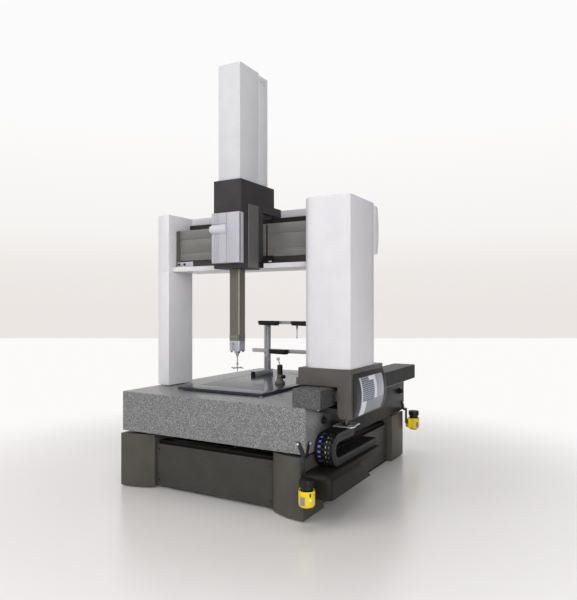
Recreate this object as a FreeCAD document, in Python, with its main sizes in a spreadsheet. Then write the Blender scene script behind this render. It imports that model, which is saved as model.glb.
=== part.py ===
import FreeCAD, Part
import math
import os
import re

import Sketcher
from FreeCAD import Placement, Rotation, Vector

# A bridge coordinate measuring machine, in millimetres, +Z up, +Y to the rear.
# The origin is on the floor, near the middle of the base.

os.makedirs("parts", exist_ok=True)
doc = FreeCAD.newDocument("measuring_machine")

SIZES = {
    # steel base
    "base_half": 785, "base_front": -916, "base_rear": 1035, "foot_high": 8,
    "column_wide": 267, "column_deep": 297, "column_top": 402, "column_arc": 496,
    "panel_set": 96, "panel_thick": 6, "panel_low": 24, "panel_top": 334, "side_set": 44,
    "beam_low": 210, "beam_high": 350, "beam_thick": 80, "foot_radius": 45,
    "cross_set": 40, "runner_set": 30, "isolator_half": 55, "isolator_high": 18,
    # granite table, guide rail and the plate on the table
    "table_over": 5, "table_front": -896, "table_rear": 1055,
    "table_thick": 295, "table_chamfer": 5,
    "rail_over": 106, "rail_wide": 201, "rail_thick": 121, "rail_back": 10,
    "scale_wide": 16, "scale_thick": 5, "scale_from_edge": 12,
    "plate_left": -464, "plate_right": 310, "plate_front": -646, "plate_rear": 690,
    "plate_thick": 20, "plate_gap": 6, "plate_corner": 16, "support_radius": 14,
    "support_from_edge": 24, "hole_radius": 3.4, "hole_across": 600, "hole_along": 1000,
    "fitting_radius": 27, "fitting_out": 34, "fitting_z": 600, "fitting_front": -642,
    "fitting_rear": 927, "knob_radius": 17,
    # cable tray and its chain
    "tray_wide": 195, "tray_low": 165, "tray_top": 315, "tray_wall": 5, "tray_end": 6,
    "shoulder": 50, "tray_corner": 36, "cut_top": -473, "cut_low": -262,
    "shelf_wide": 163, "lip_high": 42, "lip_thick": 6, "gusset_y": -225, "gusset_long": 60,
    "gusset_low": 185, "gusset_root": 12, "wedge_drop": 2,
    "chain_set": 12, "chain_wide": 126, "chain_high": 60, "chain_out": 110,
    "chain_y": -674, "chain_gap": 0.5, "chain_pitch": 35, "chain_side": 9, "chain_bar": 6,
    "chain_turn_links": 7, "lower_links": 19, "upper_links": 7, "chain_slit": 0.5,
    "turn_slit": 0.3,
    # portal foot on the guide rail
    "foot_in": 37, "foot_out": 140, "foot_front": -749, "foot_rear": -175,
    "cover_top": 957, "cover_low": 640, "cover_wall": 10, "wing_out": 15, "wing_top": 890,
    "rail_gap": 45, "rail_clear": 6, "film": 0.3, "pad_half": 34, "pad_from_end": 95,
    "under_pad_half": 26, "under_pad_set": 28, "inner_pad_rise": 8,
    "inner_wall": 14, "finger_low": 668, "finger_high": 702, "finger_gap": 16,
    "hook_low": 745, "hook_thick": 12, "frame_front": -716, "frame_rear": -182,
    "frame_low": 640, "frame_top": 928, "frame_bulge": 32, "shield_front": -650,
    "shield_rear": -240, "shield_low": 652, "shield_top": 896, "shield_lift": 2,
    "rib_low": 742, "rib_pitch": 9.2, "rib_deep": 3, "rib_cut": 3.6, "rib_count": 17,
    "rib_front": -632, "rib_rear": -250, "trim_thick": 3, "trim_drop": 26,
    "trim_start": 179, "trim_stop": 14, "trim_turn_start": 271,
    "trim_block_start": 9, "trim_block_stop": 108,
    "bracket_thick": 8, "bracket_set": 2, "bracket_wide": 147, "bracket_long": 80,
    "bracket_stem_set": 87,
    # right leg
    "leg_in": 14, "leg_out": 8, "leg_front": -742, "leg_rear": -326,
    "leg_top": 2080, "leg_curve": 105, "leg_arc": 1200, "leg_turn": 50, "leg_bow": 22,
    "leg_wall": 10, "post_wall": 12, "post_short": 118,
    "cowl_rear": -228, "cowl_low": 1728, "cowl_top": 2065, "cowl_arc": 640,
    # left leg
    "strut_over": 18, "strut_wide": 138, "strut_front": -507, "strut_rear": -204,
    "strut_low": 721, "strut_seam": 1647, "strut_top": 2110, "strut_arc": 300,
    "strut_arc_set": 10,
    "strut_wall": 18, "strut_pad": 36, "strut_pad_y": 70,
    # cross beam
    "beam_front": -411, "beam_back": -232, "beam_bottom": 1682, "beam_top": 1983,
    "band_high": 54, "band_set": 14, "groove_deep": 3, "groove_wide": 6,
    "groove_a": 1797, "groove_b": 1908, "beam_wall": 14,
    "strip_low": 1645, "strip_front": -463, "rear_near": -140, "rear_far": -110,
    "rear_top": 2124, "rear_step": 2053, "rear_thick": 10,
    "rear_margin": 8,
    # carriage
    "cart_left": -62, "cart_right": 178, "cart_front": -714, "cart_low": 1634,
    "cart_top": 2272, "cart_back": -417, "upper_back": -255, "wing_low": 2064,
    "wing_high": 2128, "wing_back": -150, "strip_gap": 6, "step_high": 1690,
    "cart_chamfer": 8, "band_front": -624, "band_rear": -490, "band_low": 1642,
    "band_top": 2104, "band_thick": 7,
    "face_left": -44, "face_right": 199, "face_front": -770, "face_low": 1671,
    "face_top": 2027, "face_bevel": 4, "flute_wide": 3, "flute_deep": 3,
    "flute_start": 28, "flute_pitch": 17, "flute_count": 3, "seam_start": 133,
    "handle_radius": 33, "handle_z": 1913, "handle_left": -52, "handle_right": 90,
    "handle_out": 12, "handle_end": 26, "pad_x": 70, "pad_low": 1765, "pad_high": 1945,
    "bearing_left": -40, "bearing_right": 160, "bearing_front": -395, "bearing_rear": -250,
    "hood_left": -29, "hood_right": 160, "hood_front": -700, "hood_split": -453,
    "hood_rear": -325, "hood_top": 3112, "hood_step": 12, "hood_wall": 4,
    "balance_radius": 24, "balance_top": 3030,
    # ram, probe head and stylus
    "ram_x": 60, "ram_y": -587, "ram_wide": 86, "ram_wall": 12, "ram_bevel": 7,
    "ram_low": 1110, "ram_top": 2560, "ram_gap": 4, "guide_high": 60, "guide_low": 1700,
    "guide_top": 2170,
    "head_low": 1033, "head_bevel": 7, "collar_radius": 21, "collar_low": 1016,
    "lug_out": 30, "lug_half": 6, "lug_low": 1024,
    "taper_low": 985, "taper_radius": 13, "shaft_radius": 3.5, "hub_z": 909,
    "hub_half": 6, "arm_radius": 2, "arm_reach": 48, "tip_radius": 4, "tip_drop": 24,
    # stylus rack
    "rack_left": -310, "rack_right": 230, "rack_y": 439, "rack_section": 45,
    "rack_slot": 9, "rack_slot_deep": 7, "rack_front": 198, "rack_rear": 500,
    "cap_thick": 4, "top_bar_low": 1203, "top_bar_high": 1233, "top_bar_left": -394,
    "low_bar_low": 944, "low_bar_high": 978, "low_bar_left": -442, "bar_right": 275,
    "bar_deep": 32, "holder_high": 30, "holder_deep": 58, "holder_nose": 40,
    "holder_ease": 10, "holder_top_long": 222, "holder_spare_in": 78,
    "holder_spare_out": 130, "holder_low_start": 49, "holder_low_stop": 254,
    "spare_x": 29, "spare_radius": 9, "spare_long": 34, "spare_reach": 118,
    # reference sphere on its magnetic stand
    "stand_x": 145, "stand_y": -111, "stand_radius": 42, "stand_flange": 18,
    "stand_body": 21, "stand_top": 894, "stem_radius": 4, "stem_high": 34,
    "stem_lean": 12, "stem_sunk": 6, "ball_radius": 15, "dial_z": 800, "dial_radius": 15,
    "dial_boss": 4,
    "dial_thick": 20, "lever_long": 34, "lever_radius": 4,
    # safety scanners at the table's right-hand corners
    "scan_side": 8, "scan_ahead": 44, "scan_radius": 52, "scan_reach": 75, "scan_low": 138,
    "scan_neck": 240, "scan_top": 303, "scan_head": 46, "scan_back": 60, "rear_rise": 88,
    "scan_heel": 14, "scan_drop": 6, "scan_cone": 20, "scan_taper": 8,
    "hub_in": 4, "hub_out": 14, "hub_low": 4, "hub_gap": 2, "arm_foot": 4, "arm_lift": 8,
    "blade_thick": 8, "blade_wide": 30, "blade_low": 190, "blade_top": 422,
    "arm_thick": 6, "arm_wide": 26, "arm_bolt": 50, "arm_bolt_z": 488,
}

# Worked-out levels, each a sum of the sizes above.
LEVELS = {
    "table_right": "base_half + table_over",
    "table_left": "-1 * table_right",
    "rail_right": "table_right + rail_over",
    "rail_left": "rail_right - rail_wide",
    "tray_right": "base_half + tray_wide",
    "shelf_right": "base_half + shelf_wide",
    "chain_left": "base_half + chain_set",
    "foot_left": "rail_left - foot_in",
    "foot_right": "rail_right + foot_out",
    "finger_left": "table_right + finger_gap",
    "bracket_left": "chain_left + bracket_set",
    "bracket_right": "bracket_left + bracket_wide",
    "bracket_stem": "chain_left + bracket_stem_set",
    "leg_left": "foot_left + leg_in",
    "leg_right": "foot_right - leg_out",
    "leg_arc_x": "(leg_left + leg_right) / 2 + leg_turn",
    "strut_left": "table_left - strut_over",
    "strut_right": "strut_left + strut_wide",
    "scan_x": "table_right + scan_side",
    "scan_y": "table_front - scan_ahead",
    "table_low": "column_top + isolator_high",
    "table_top": "table_low + table_thick",
    "rail_top": "table_top + rail_thick",
    "plate_low": "table_top + plate_gap",
    "plate_top": "plate_low + plate_thick",
    "rack_floor": "plate_top + rack_section",
    "chain_low": "tray_top + chain_gap",
    "chain_mid": "chain_low + chain_out",
    "chain_top": "chain_mid + chain_out",
    "chain_in": "chain_out - chain_high",
    "ram_half": "ram_wide / 2",
    "core_right": "foot_right - cover_wall",
    "core_left": "foot_left + inner_wall",
    "core_top": "cover_top - cover_wall",
    "core_front": "foot_front + cover_wall",
    "core_rear": "foot_rear - cover_wall",
    "core_roof": "rail_top + rail_clear",
    "core_side": "rail_right + rail_gap",
    "chain_moving": "chain_y + upper_links * chain_pitch",
}

FUNCTIONS = ("sqrt",)
WORD = re.compile(r"[a-z][a-z_]*")
TURNS = {
    "x": Rotation(Vector(0, 1, 0), 90),
    "y": Rotation(Vector(1, 0, 0), -90),
    "z": Rotation(),
}
PLANES = {"x": ("YZ_Plane", 1), "y": ("XZ_Plane", -1), "z": ("XY_Plane", 1)}
pieces = {}


def tie(text):
    """Turn a sum of named sizes into an expression that reads the sheet."""
    return WORD.sub(
        lambda word: word.group(0) if word.group(0) in FUNCTIONS else "dims." + word.group(0),
        text,
    )


def fill_sheet():
    """Keep the driving sizes and the levels worked out from them in one sheet."""
    sheet = doc.addObject("Spreadsheet::Sheet", "dims")
    for row, (alias, value) in enumerate(SIZES.items(), 1):
        sheet.set(f"A{row}", alias)
        sheet.set(f"B{row}", str(value))
        sheet.setAlias(f"B{row}", alias)
    for row, (alias, text) in enumerate(LEVELS.items(), len(SIZES) + 1):
        sheet.set(f"A{row}", alias)
        sheet.setAlias(f"B{row}", alias)
    doc.recompute()
    for row, text in enumerate(LEVELS.values(), len(SIZES) + 1):
        sheet.set(f"B{row}", "=" + text)
    doc.recompute()
    return sheet


def size(alias):
    """Read one size from the sheet as a plain number."""
    return float(getattr(sheet, alias))


def place(thing, x, y, z):
    """Bind the place of an object to the sheet."""
    for axis, text in zip("xyz", (x, y, z)):
        thing.setExpression("Placement.Base." + axis, tie(text))
    return thing


def box(name, x, y, z, within=None):
    """Make a block between two places on each axis."""
    block = within.newObject("PartDesign::AdditiveBox", name) if within else (
        doc.addObject("Part::Box", name))
    for side, (low, high) in zip(("Length", "Width", "Height"), (x, y, z)):
        block.setExpression(side, tie(f"({high}) - ({low})"))
    return place(block, x[0], y[0], z[0])


def rod(name, radius, axis, start, end, across, angle=None):
    """Make a round bar along an axis; across gives its place on the other two axes."""
    bar = doc.addObject("Part::Cylinder", name)
    bar.Placement = Placement(Vector(), TURNS[axis])
    bar.setExpression("Radius", tie(radius))
    bar.setExpression("Height", tie(f"({end}) - ({start})"))
    if angle:
        bar.setExpression("Angle", tie(angle))
    spot = list(across)
    spot.insert("xyz".index(axis), start)
    return place(bar, *spot)


def cone(name, low_radius, high_radius, low, high, across):
    """Make an upright taper between two levels."""
    taper = doc.addObject("Part::Cone", name)
    taper.setExpression("Radius1", tie(low_radius))
    taper.setExpression("Radius2", tie(high_radius))
    taper.setExpression("Height", tie(f"({high}) - ({low})"))
    return place(taper, *across, low)


def ball(name, radius, x, y, z):
    """Make a sphere."""
    sphere = doc.addObject("Part::Sphere", name)
    sphere.setExpression("Radius", tie(radius))
    return place(sphere, x, y, z)


def pad(name, half, axis, start, end, across):
    """Make a square air bearing that faces along an axis; across is its middle."""
    sides = [(f"{middle} - {half}", f"{middle} + {half}") for middle in across]
    sides.insert("xyz".index(axis), (start, end))
    return box(name, *sides)


def fuse(name, *solids):
    """Weld solids into one."""
    welded = doc.addObject("Part::MultiFuse", name)
    welded.Shapes = list(solids)
    return welded


def overlap(name, *solids):
    """Keep only what all the solids share."""
    shared = doc.addObject("Part::MultiCommon", name)
    shared.Shapes = list(solids)
    return shared


def group(name, solids):
    """Hold separate solids together as one sub-part."""
    held = doc.addObject("Part::Compound", name)
    held.Links = list(solids)
    return held


def cut(name, base, *tools):
    """Take one or more tools away from a solid."""
    result = doc.addObject("Part::Cut", name)
    result.Base = base
    result.Tool = tools[0] if len(tools) == 1 else group(name + "_tools", tools)
    return result


def mirrored(name, source, axis, middle):
    """Mirror a solid across a plane square to an axis."""
    twin = doc.addObject("Part::Mirroring", name)
    twin.Source = source
    twin.Normal = Vector(*(float(axis == other) for other in "xyz"))
    twin.setExpression("Base." + axis, tie(middle))
    return twin


def edge_names(shape, along, ends):
    """Name a block's edges that run along an axis at the given ends, such as x+ or z-."""
    limits = shape.BoundBox
    names = []
    for number, edge in enumerate(shape.Edges, 1):
        lean = edge.tangentAt(edge.FirstParameter)
        middle = edge.CenterOfMass
        straight = abs(getattr(lean, along)) > 0.99
        placed = all(
            abs(getattr(middle, end[0]) - getattr(
                limits, end[0].upper() + ("Max" if end[1] == "+" else "Min"))) < 0.01
            for end in ends
        )
        if straight and placed:
            names.append(f"Edge{number}")
    return names


def eased_box(name, x, y, z, eases, kind="Chamfer"):
    """Make a block with eased edges: each ease is its size, its axis and its ends."""
    body = doc.addObject("PartDesign::Body", name)
    last = box(name + "_block", x, y, z, within=body)
    for number, (amount, along, ends) in enumerate(eases):
        doc.recompute()
        ease = body.newObject("PartDesign::" + kind, f"{name}_ease_{number}")
        ease.Base = (last, edge_names(last.Shape, along, ends))
        ease.setExpression("Size" if kind == "Chamfer" else "Radius", tie(amount))
        last = ease
    body.Tip = last
    return body


def prism(name, axis, points, low, high):
    """Pad a straight-sided outline along an axis; each point gives the other two axes."""
    role, sign = PLANES[axis]
    body = doc.addObject("PartDesign::Body", name)
    sketch = body.newObject("Sketcher::SketchObject", name + "_outline")
    plane = [face for face in body.Origin.OriginFeatures if face.Role == role]
    sketch.AttachmentSupport = (plane[0], [""])
    sketch.MapMode = "FlatFace"
    count = len(points)
    start = [Vector(math.cos(2 * math.pi * k / count), math.sin(2 * math.pi * k / count), 0)
             for k in range(count)]
    for k in range(count):
        sketch.addGeometry(Part.LineSegment(start[k], start[(k + 1) % count]))
    for k in range(count):
        sketch.addConstraint(Sketcher.Constraint("Coincident", k, 2, (k + 1) % count, 1))
    for k, point in enumerate(points):
        for kind, text in zip(("DistanceX", "DistanceY"), point):
            rule = sketch.addConstraint(Sketcher.Constraint(kind, -1, 1, k, 1, 1.0))
            sketch.setExpression(f"Constraints[{rule}]", tie(text))
    sketch.setExpression("AttachmentOffset.Base.z", tie(low if sign > 0 else f"-({low})"))
    pad = body.newObject("PartDesign::Pad", name + "_pad")
    pad.Profile = sketch
    pad.Reversed = sign < 0
    pad.setExpression("Length", tie(f"({high}) - ({low})"))
    return body


def feature(name, shape):
    """Keep a shape made by a loop as an object of the document."""
    holder = doc.addObject("Part::Feature", name)
    holder.Shape = shape
    return holder


def piece(thing):
    """List a finished sub-part under its own name."""
    thing.Label = thing.Name
    pieces[thing.Name] = thing
    return thing


def base():
    """The steel base: four columns, their beams, the panels and the feet."""
    inner = "base_half - column_wide"
    middle_x = "base_half - column_wide / 2"
    middle_y = "(base_front + base_rear) / 2"
    corner = piece(overlap(
        "front_right_column",
        box("column_block", (inner, "base_half"), ("base_front", "base_front + column_deep"),
            ("foot_high", "column_top")),
        rod("column_face", "column_arc", "z", "foot_high", "column_top",
            ("base_half", "base_front + column_arc"))))
    rear = piece(mirrored("rear_right_column", corner, "y", middle_y))
    piece(mirrored("front_left_column", corner, "x", "0"))
    piece(mirrored("rear_left_column", rear, "x", "0"))
    cross = box("front_cross", (f"-({inner})", inner),
                ("base_front + panel_set + cross_set",
                 "base_front + panel_set + cross_set + beam_thick"),
                ("beam_low", "beam_high"))
    runner = box("right_runner",
                 ("base_half - side_set - runner_set - beam_thick",
                  "base_half - side_set - runner_set"),
                 ("base_front + column_deep", "base_rear - column_deep"),
                 ("beam_low", "beam_high"))
    piece(group("base_frame", [
        cross, mirrored("rear_cross", cross, "y", middle_y),
        runner, mirrored("left_runner", runner, "x", "0")]))
    front = piece(box("front_panel", (f"-({inner})", inner),
                      ("base_front + panel_set", "base_front + panel_set + panel_thick"),
                      ("panel_low", "panel_top")))
    piece(mirrored("rear_panel", front, "y", middle_y))
    right = piece(box("right_panel",
                      ("base_half - side_set - panel_thick", "base_half - side_set"),
                      ("base_front + column_deep", "base_rear - column_deep"),
                      ("panel_low", "panel_top")))
    piece(mirrored("left_panel", right, "x", "0"))
    spots = [(f"{sign}({middle_x})", y)
             for y in ("base_front + column_deep / 2", "base_rear - column_deep / 2")
             for sign in ("", "-")]
    piece(group("levelling_feet", [
        rod(f"levelling_foot_{k}", "foot_radius", "z", "0", "foot_high", spot)
        for k, spot in enumerate(spots)]))
    piece(group("vibration_isolators", [
        pad(f"isolator_{k}", "isolator_half", "z", "column_top", "table_low", spot)
        for k, spot in enumerate(spots)]))


def table():
    """The granite table, its guide rail, the thin plate on it and the fittings."""
    piece(eased_box("granite_table", ("table_left", "table_right"),
                    ("table_front", "table_rear"), ("table_low", "table_top"),
                    [("table_chamfer", "z", ())]))
    piece(eased_box("guide_rail", ("rail_left", "rail_right"),
                    ("table_front", "table_rear - rail_back"), ("table_top", "rail_top"),
                    [("table_chamfer", "y", ("z+",))]))
    piece(box("guide_scale", ("rail_right - scale_from_edge - scale_wide",
                              "rail_right - scale_from_edge"),
              ("table_front + rail_back", "table_rear - 2 * rail_back"),
              ("table_top - scale_thick", "table_top")))
    blank = eased_box("plate_blank", ("plate_left", "plate_right"),
                      ("plate_front", "plate_rear"), ("plate_low", "plate_top"),
                      [("plate_corner", "z", ())], kind="Fillet")
    middle = ("(plate_left + plate_right) / 2", "(plate_front + plate_rear) / 2")
    corners = [(f"{middle[0]} {across} hole_across / 2", f"{middle[1]} {along} hole_along / 2")
               for along in "+-" for across in "+-"]
    piece(cut("table_plate", blank, *[
        rod(f"plate_hole_{number}", "hole_radius", "z", "plate_low - 1", "plate_top + 1", spot)
        for number, spot in enumerate(corners)]))
    rows = ("plate_front + support_from_edge", middle[1], "plate_rear - support_from_edge")
    lines = ("plate_left + support_from_edge", "plate_right - support_from_edge")
    piece(group("plate_supports", [
        rod(f"support_{i}{k}", "support_radius", "z", "table_top", "plate_low", (x, y))
        for i, x in enumerate(lines) for k, y in enumerate(rows)]))
    fittings = []
    for end in ("front", "rear"):
        spot = (f"fitting_{end}", "fitting_z")
        fittings.append(fuse(
            f"{end}_fitting",
            rod(f"{end}_boss", "fitting_radius", "x", "table_right",
                "table_right + fitting_out / 2", spot),
            rod(f"{end}_knob", "knob_radius", "x", "table_right",
                "table_right + fitting_out", spot)))
    piece(group("transport_fittings", fittings))


def tray():
    """The cable tray on the right of the base: a hooded front and an open shelf behind."""
    hood = eased_box(
        "hood_out", ("base_half", "tray_right"), ("base_front", "cut_low"),
        ("tray_low", "tray_top"),
        [("shoulder", "y", ("x+", "z+")), ("tray_corner", "z", ("x+", "y-"))], kind="Fillet")
    room = eased_box(
        "hood_in", ("base_half + tray_wall", "tray_right - tray_wall"),
        ("base_front + tray_wall", "cut_low + tray_wall"),
        ("tray_low - tray_wall", "tray_top - tray_wall"),
        [("shoulder - tray_wall", "y", ("x+", "z+")),
         ("tray_corner - tray_wall", "z", ("x+", "y-"))], kind="Fillet")
    wedge = prism(
        "hood_wedge", "x",
        [("cut_low + 1", "tray_low - 1"), ("cut_low + 1", "tray_top + 1"),
         ("cut_top", "tray_top + 1"), ("cut_top", "tray_top - tray_wall - wedge_drop")],
        "base_half - 1", "tray_right + 1")
    piece(cut("tray_side_cover", hood, room, wedge))
    shelf = box("tray_shelf", ("base_half", "shelf_right"), ("cut_top", "tray_end"),
                ("tray_top - tray_wall", "tray_top"))
    lip = box("tray_lip", ("shelf_right - lip_thick", "shelf_right"), ("cut_top", "tray_end"),
              ("tray_top - lip_high", "tray_top"))
    gusset = prism(
        "tray_gusset", "y",
        [("base_half", "tray_top - tray_wall"), ("base_half", "gusset_low"),
         ("base_half + gusset_root", "gusset_low"),
         ("shelf_right - lip_thick", "tray_top - lip_high"),
         ("shelf_right - lip_thick", "tray_top - tray_wall")],
        "gusset_y", "gusset_y + gusset_long")
    stop = box("chain_anchor", ("chain_left", "chain_left + chain_wide"),
               ("chain_y + lower_links * chain_pitch",
                "chain_y + lower_links * chain_pitch + tray_wall"),
               ("tray_top - tray_wall", "chain_low + chain_high"))
    piece(fuse("cable_tray", shelf, lip, gusset, stop))


def chain():
    """The cable chain: straight runs above and below, and a half turn at the front."""
    wide = ("chain_left", "chain_left + chain_wide")
    plates = (("chain_left", "chain_left + chain_side"),
              ("chain_left + chain_wide - chain_side", "chain_left + chain_wide"))
    long = ("chain_slit / 2", "chain_pitch - chain_slit / 2")
    short = ("chain_pitch / 4", "chain_pitch * 3 / 4")
    tall = ("chain_low", "chain_low + chain_high")
    straight = fuse(
        "straight_link",
        box("link_left", plates[0], long, tall), box("link_right", plates[1], long, tall),
        box("link_floor", wide, short, ("chain_low", "chain_low + chain_bar")),
        box("link_roof", wide, short,
            ("chain_low + chain_high - chain_bar", "chain_low + chain_high")))
    arc = "180 / chain_turn_links"
    rings = {}
    for name, span, outer, inner, turn in (
            ("turn_left", plates[0], "chain_out", "chain_in", f"{arc} - turn_slit"),
            ("turn_right", plates[1], "chain_out", "chain_in", f"{arc} - turn_slit"),
            ("turn_outer", wide, "chain_out", "chain_out - chain_bar", f"({arc}) / 2"),
            ("turn_inner", wide, "chain_in + chain_bar", "chain_in", f"({arc}) / 2")):
        disc = rod(name + "_disc", outer, "x", *span, ("0", "0"), angle=turn)
        bore = rod(name + "_bore", inner, "x", *span, ("0", "0"))
        rings[name] = cut(name, disc, bore)
    doc.recompute()
    step = 180 / size("chain_turn_links")
    eye = Vector(0, size("chain_y"), size("chain_mid"))
    axis = Vector(1, 0, 0)
    parts = []
    slit = size("turn_slit")
    for name, lag in (("turn_left", slit / 2), ("turn_right", slit / 2),
                      ("turn_outer", step / 4), ("turn_inner", step / 4)):
        arc_part = rings[name].Shape.copy()
        arc_part.rotate(Vector(), axis, 180 + lag)
        arc_part.translate(eye)
        parts.append(arc_part)
    link = parts[0].multiFuse(parts[1:])
    turn = []
    for k in range(int(size("chain_turn_links"))):
        copy = link.copy()
        copy.rotate(eye, axis, k * step)
        turn.append(copy)
    piece(feature("chain_loop", Part.makeCompound(turn)))
    lift = size("chain_top") - size("chain_low") - size("chain_high")
    for name, count, up in (("chain_lower_run", "lower_links", 0),
                            ("chain_upper_run", "upper_links", lift)):
        run = []
        for k in range(int(size(count))):
            copy = straight.Shape.copy()
            copy.translate(Vector(0, size("chain_y") + k * size("chain_pitch"), up))
            run.append(copy)
        piece(feature(name, Part.makeCompound(run)))


def portal_foot():
    """The portal's right foot: a casting round the guide rail, its pads and its covers."""
    outline = [
        ("core_left", "core_top"), ("core_left", "hook_low"),
        ("core_left + hook_thick", "hook_low"), ("core_left + hook_thick", "core_roof"),
        ("core_side", "core_roof"), ("core_side", "finger_high"),
        ("finger_left", "finger_high"), ("finger_left", "finger_low"),
        ("core_right", "finger_low"), ("core_right", "core_top")]
    piece(prism("foot_casting", "y", outline, "core_front", "core_rear"))
    shell = prism(
        "foot_shell", "y",
        [("foot_left", "cover_top"), ("foot_left", "wing_top"),
         ("foot_left - wing_out", "wing_top"), ("foot_left - wing_out", "core_roof"),
         ("core_side", "core_roof"), ("core_side", "finger_high"),
         ("core_side", "finger_low"),
         ("core_side + 2 * cover_wall", "cover_low"), ("foot_right", "cover_low"),
         ("foot_right", "cover_top")],
        "foot_front", "foot_rear")
    pocket = prism("foot_pocket", "y", outline, "core_front", "core_rear")
    piece(cut("foot_cover", shell, pocket))
    rail_x = "rail_left + rail_wide / 2"
    rail_z = "rail_top - rail_thick / 2"
    pads = []
    for end, y in (("front", "foot_front + pad_from_end"), ("rear", "foot_rear - pad_from_end")):
        pads += [
            pad(f"top_pad_{end}", "pad_half", "z", "rail_top + film", "core_roof", (rail_x, y)),
            pad(f"side_pad_{end}", "pad_half", "x", "rail_right + film", "core_side",
                (y, rail_z)),
            pad(f"under_pad_{end}", "under_pad_half", "z", "finger_high", "table_top - film",
                ("finger_left + under_pad_set", y)),
            pad(f"inner_pad_{end}", "pad_half", "x", "core_left + hook_thick",
                "rail_left - film", (y, f"{rail_z} + inner_pad_rise"))]
    pads += [
        rod(f"left_pad_{side}", "strut_pad", "z", "table_top + film", "strut_low",
            ("(strut_left + strut_right) / 2",
             f"(strut_front + strut_rear) / 2 {sign} strut_pad_y"))
        for side, sign in (("front", "-"), ("rear", "+"))]
    piece(group("portal_air_bearings", pads))
    span = ("frame_front", "frame_rear")
    tall = "(frame_top - frame_low)"
    radius = f"{tall} * {tall} / 8 / frame_bulge + frame_bulge / 2"
    out = "foot_right + frame_bulge"
    axle = (f"{out} - ({radius})", "(frame_low + frame_top) / 2")
    window = (("shield_front", "shield_rear"), ("shield_low", "shield_top"))
    frame = overlap(
        "frame_form",
        box("frame_slab", ("foot_right", out), span, ("frame_low", "frame_top")),
        rod("frame_roll", radius, "y", *span, axle))
    piece(cut("foot_side_frame", frame,
              box("frame_window", ("foot_right - 1", f"{out} + 1"), *window)))
    blank = overlap(
        "shield_blank",
        box("shield_slab", ("foot_right", f"{out} + shield_lift"), *window),
        rod("shield_roll", f"{radius} + shield_lift", "y", *span, axle))
    slabs = [
        box(f"rib_{k}", (f"{out} - frame_bulge / 2", f"{out} + shield_lift + 1"),
            ("rib_front", "rib_rear"),
            (f"rib_low + {k} * rib_pitch", f"rib_low + {k} * rib_pitch + rib_cut"))
        for k in range(int(size("rib_count")))]
    core = rod("shield_core", f"{radius} + shield_lift - rib_deep", "y", *span, axle)
    piece(cut("foot_side_cover", blank, cut("shield_slots", group("rib_slabs", slabs), core)))
    skin = cut("trim_skin",
               rod("trim_out", f"{radius} + shield_lift + trim_thick", "y", *span, axle),
               rod("trim_in", f"{radius} + shield_lift", "y", "frame_front - 1",
                   "frame_rear + 1", axle))
    face = ("foot_right", f"{out} + shield_lift + trim_thick")
    marks = group("trim_marks", [
        box("trim_top", face, ("shield_front + trim_start", "shield_rear - trim_stop"),
            ("shield_top - trim_drop", "shield_top")),
        box("trim_down", face, ("shield_front + trim_turn_start", "shield_rear - trim_stop"),
            ("rib_low", "shield_top - trim_drop")),
        box("trim_block", face,
            ("shield_front + trim_block_start", "shield_front + trim_block_stop"),
            ("shield_low", "rib_low"))])
    piece(overlap("foot_cover_trim", skin, marks))
    plate = box("bracket_plate", ("bracket_left", "bracket_right"),
                ("chain_moving - bracket_long", "chain_moving"),
                ("chain_top", "chain_top + bracket_thick"))
    stem = box("bracket_riser", ("bracket_stem", "bracket_stem + bracket_thick"),
               ("chain_moving - bracket_long", "chain_moving"),
               ("chain_top", "finger_low"))
    piece(fuse("chain_bracket", plate, stem))


def right_leg():
    """The right leg: an inner post, its curved cover and the cowl behind it."""
    block = eased_box(
        "leg_block", ("leg_left", "leg_right"), ("leg_front", "leg_rear"),
        ("cover_top", "leg_top"), [("leg_curve", "z", ("x-", "y-"))], kind="Fillet")
    face = rod("leg_face", "leg_arc", "z", "cover_top", "leg_top",
               ("leg_arc_x", "leg_front + leg_arc"))
    room = eased_box(
        "leg_room", ("leg_left + leg_wall", "leg_right - leg_wall"),
        ("leg_front + leg_bow + leg_wall", "leg_rear - leg_wall"),
        ("cover_top - 1", "leg_top - leg_wall"), [("leg_curve - leg_wall", "z", ("x-", "y-"))],
        kind="Fillet")
    piece(cut("right_leg_cover", overlap("leg_form", block, face), room))
    post = box("post_block", ("leg_left + leg_wall", "leg_right - leg_wall"),
               ("leg_front + post_short + leg_wall", "leg_rear - leg_wall"),
               ("cover_top", "leg_top - 2 * leg_wall"))
    bore = box("post_bore",
               ("leg_left + leg_wall + post_wall", "leg_right - leg_wall - post_wall"),
               ("leg_front + post_short + leg_wall + post_wall",
                "leg_rear - leg_wall - post_wall"),
               ("cover_top - 1", "leg_top"))
    piece(cut("right_post", post, bore))
    cowl = box("cowl_block", ("leg_left", "leg_right"), ("leg_rear", "cowl_rear"),
               ("cowl_low", "cowl_top"))
    curve = rod("cowl_curve", "cowl_arc", "x", "leg_left", "leg_right",
                ("cowl_rear - cowl_arc", "(cowl_low + cowl_top) / 2"))
    piece(overlap("right_leg_cowl", cowl, curve))


def left_leg():
    """The left leg, in two lengths, with the pads that float on the granite."""
    arc = ("strut_right - strut_arc_set", "strut_front + strut_arc")
    wide = ("strut_left", "strut_right")

    def length(name, low, high):
        block = box(name + "_block", wide, ("strut_front", "strut_rear"), (low, high))
        nose = rod(name + "_nose", "strut_arc", "z", low, high, arc)
        return overlap(name, block, nose)

    piece(length("left_leg", "strut_low", "strut_seam"))
    notch = box("beam_notch", ("strut_left + strut_wall", "strut_right + 1"),
                ("beam_front - film", "strut_rear + 1"),
                ("beam_bottom - film", "beam_top + film"))
    piece(cut("left_leg_head", length("head_form", "strut_seam", "strut_top"), notch))


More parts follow.
